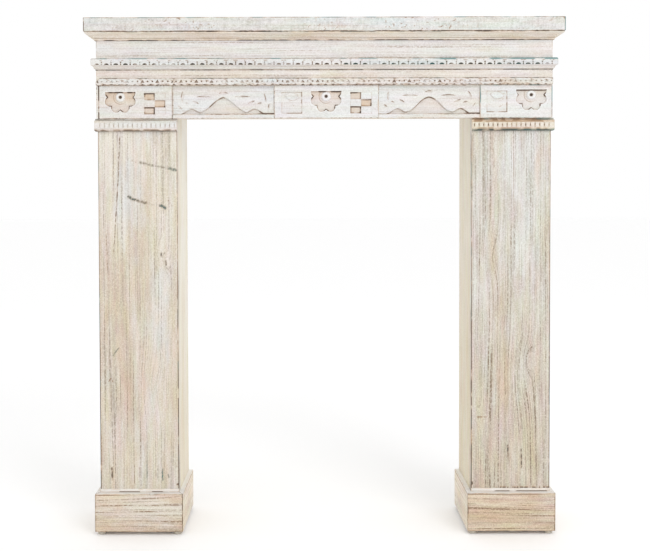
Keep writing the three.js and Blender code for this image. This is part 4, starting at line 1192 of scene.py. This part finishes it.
for facing, (axis, _) in OUTWARD.items():
    node = "egg_moulding_" + facing
    low, high = millimetres(node)
    plane, ends, mitres = round_the_body(facing, high[1])
    carve = egg_carving(low[1 - axis], high[1 - axis], low[2])
    moulding = board(node, facing, plane, egg_corners(low[2], high[2]), ends, carve, EGG_STEPS, mitres,
                     seed=131 if facing == "front" else 137, arris=0.4, chips=0.6, teal=0.5, seams=(1.5, 0.8))
    dress(moulding, carved_paint, "whitewash_paint", node)

# Crown: a cove moulding under the shelf with a thin fillet above it and a small round below.
# It is planed softwood, mitred at both front corners and returned along the sides.

CROWN_STEPS = (3.2, 1.0)
CROWN_COAT = (0.80, 0.74, 0.66, 1)
CROWN_SHADE = (0.66, 0.54, 0.40, 1)
CROWN_COOL = (0.80, 0.77, 0.71, 1)
crown_paint = worn_paint("cream paint on the crown", CROWN_COAT, CROWN_SHADE, CROWN_COOL, CARVED_STREAK)
CROWN_REACH = 22.0
CROWN_FILLET = 3.6
CROWN_ROUND = 4.0
CROWN_QUIRK = 1.0
COVE_POINTS = 12


def crown_corners(foot, head):
    """Profile of the crown: a small round, a quirk, the cove and the fillet."""
    cove_foot = (CROWN_ROUND + CROWN_QUIRK, foot + CROWN_ROUND + 2 * CROWN_QUIRK)
    cove_head = (CROWN_REACH - CROWN_QUIRK, head - CROWN_FILLET)
    turn = np.linspace(0, math.pi / 2, COVE_POINTS)
    reach = cove_foot[0] + (cove_head[0] - cove_foot[0]) * (1 - np.cos(turn))
    height = cove_foot[1] + (cove_head[1] - cove_foot[1]) * np.sin(turn)
    return [(0, foot), (CROWN_ROUND / 2, foot), (CROWN_ROUND, foot + CROWN_ROUND / 4),
            (CROWN_ROUND, foot + CROWN_ROUND), (CROWN_ROUND - CROWN_QUIRK, foot + CROWN_ROUND + CROWN_QUIRK),
            *zip(reach, height), (CROWN_REACH, head - CROWN_FILLET), (CROWN_REACH, head), (0, head)]


for facing in OUTWARD:
    node = "crown_" + facing
    low, high = millimetres(node)
    plane, ends, mitres = round_the_body(facing, high[1])
    moulding = board(node, facing, plane, crown_corners(low[2], high[2]), ends, None, CROWN_STEPS, mitres,
                     seed=141, arris=0.5, chips=0.5, seams=(1.2, 1.2))
    dress(moulding, crown_paint, "cream_paint", node)

# Shelf: one thick plank laid over the crown and the side boards, and screwed down from below.
# It is softwood with level grain and eased edges, the most worn of all along its upper arris.

SHELF_STEPS = (2.6, 1.2)
SHELF_COAT = (0.66, 0.66, 0.645, 1)
SHELF_SHADE = (0.62, 0.57, 0.49, 1)
SHELF_COOL = (0.64, 0.66, 0.65, 1)
shelf_paint = worn_paint("whitewash on the shelf", SHELF_COAT, SHELF_SHADE, SHELF_COOL, CARVED_STREAK,
                         lines=0.4, patches=0.3, crossed=0.4)


def shelf_wear(work, u, h):
    """Short upright scratches across the front edge, and small specks where the wash has flaked."""
    around = work["around"]
    scratched, flaked = mottle(u, around, 70.0, 60.0, 153), mottle(u, around, 90.0, 40.0, 155)
    scratch = ease(0.62, 0.86, mottle(u, around, 2.6, 14.0, 152)) * ease(0.4, 0.7, scratched)
    flake = ease(0.80, 0.92, mottle(u, around, 3.6, 3.6, 154)) * ease(0.3, 0.7, flaked) * (around < h + LIP)
    broken = ease(0.2, 0.5, mottle(u, h, 8.0, 8.0, 156))
    mark(work, hollow=0.22 * scratch)
    mark(work, hollow=0.6 * flake)
    mark(work, hollow=0.9 * broken * fade(1.2, 2.6, u - u.min()))
    work["teal"] = 0.8 * broken * fade(1.2, 2.6, u.max() - u)


shelf = plank("shelf", "front", shelf_wear, SHELF_STEPS, seed=151, arris=1.6, wear=0.7, chips=0.8, teal=0.45,
              seams=(1.1, 0.8), ends_marked=(1.5, 0.8))
dress(shelf, shelf_paint, "whitewash_paint", "shelf")

# Floor, light and camera: a plain pale floor in soft studio light, under an even white sky.
# The camera stands where the photograph was taken from.

FLOOR_SIZE = 60.0
FLOOR_PALE = (0.99, 0.99, 0.99, 1)
bpy.ops.mesh.primitive_plane_add(size=FLOOR_SIZE, location=(0, 0, 0))
floor = bpy.context.object
floor.name = "floor"
floor_paint = bpy.data.materials.new("pale floor")
floor_paint.use_nodes = True
floor_shader = floor_paint.node_tree.nodes["Principled BSDF"]
floor_shader.inputs["Base Color"].default_value = FLOOR_PALE
floor_shader.inputs["Roughness"].default_value = 0.9
floor.data.materials.append(floor_paint)
floor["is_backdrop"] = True

world = bpy.data.worlds.new("studio")
world.use_nodes = True
sky = world.node_tree.nodes["Background"]
sky.inputs["Color"].default_value = (1.0, 1.0, 1.0, 1)
sky.inputs["Strength"].default_value = 1.0
bpy.context.scene.world = world
bpy.context.scene.view_settings.view_transform = "Standard"

KEY_PLACE = (1.7, -2.8, 3.0)
KEY_TARGET = (0, 0, 0.7)
KEY_SIZE = 1.6
KEY_POWER = 32
key = bpy.data.lights.new("key light", "AREA")
key.shape = "SQUARE"
key.size = KEY_SIZE
key.energy = KEY_POWER
key_light = bpy.data.objects.new("key light", key)
bpy.context.scene.collection.objects.link(key_light)
key_light.location = KEY_PLACE
aim = np.subtract(KEY_TARGET, KEY_PLACE)
key_light.rotation_euler = (math.atan2(math.hypot(aim[0], aim[1]), -aim[2]), 0, math.atan2(-aim[0], aim[1]))

PHOTO_WIDTH = 650
PHOTO_FOCUS = 971  # focal length, in pixels of the photograph
PHOTO_CENTRE = 309  # pixel column straight ahead of the camera
SHIFT_UP = -0.085
SENSOR = 36.0
CAMERA_PLACE = (-0.036, -2.333, 0.792)
CAMERA_DIP = 1.5  # degrees below the level
CAMERA_ROLL = 0.14
camera_data = bpy.data.cameras.new("camera")
camera_data.sensor_width = SENSOR
camera_data.lens = PHOTO_FOCUS * SENSOR / PHOTO_WIDTH
camera_data.shift_x = (PHOTO_WIDTH / 2 - PHOTO_CENTRE) / PHOTO_WIDTH
camera_data.shift_y = SHIFT_UP
camera = bpy.data.objects.new("camera", camera_data)
camera.location = CAMERA_PLACE
camera.rotation_euler = (math.radians(90 - CAMERA_DIP), math.radians(CAMERA_ROLL), 0)
bpy.context.scene.collection.objects.link(camera)
bpy.context.scene.camera = camera

bpy.context.view_layer.update()
low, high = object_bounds()
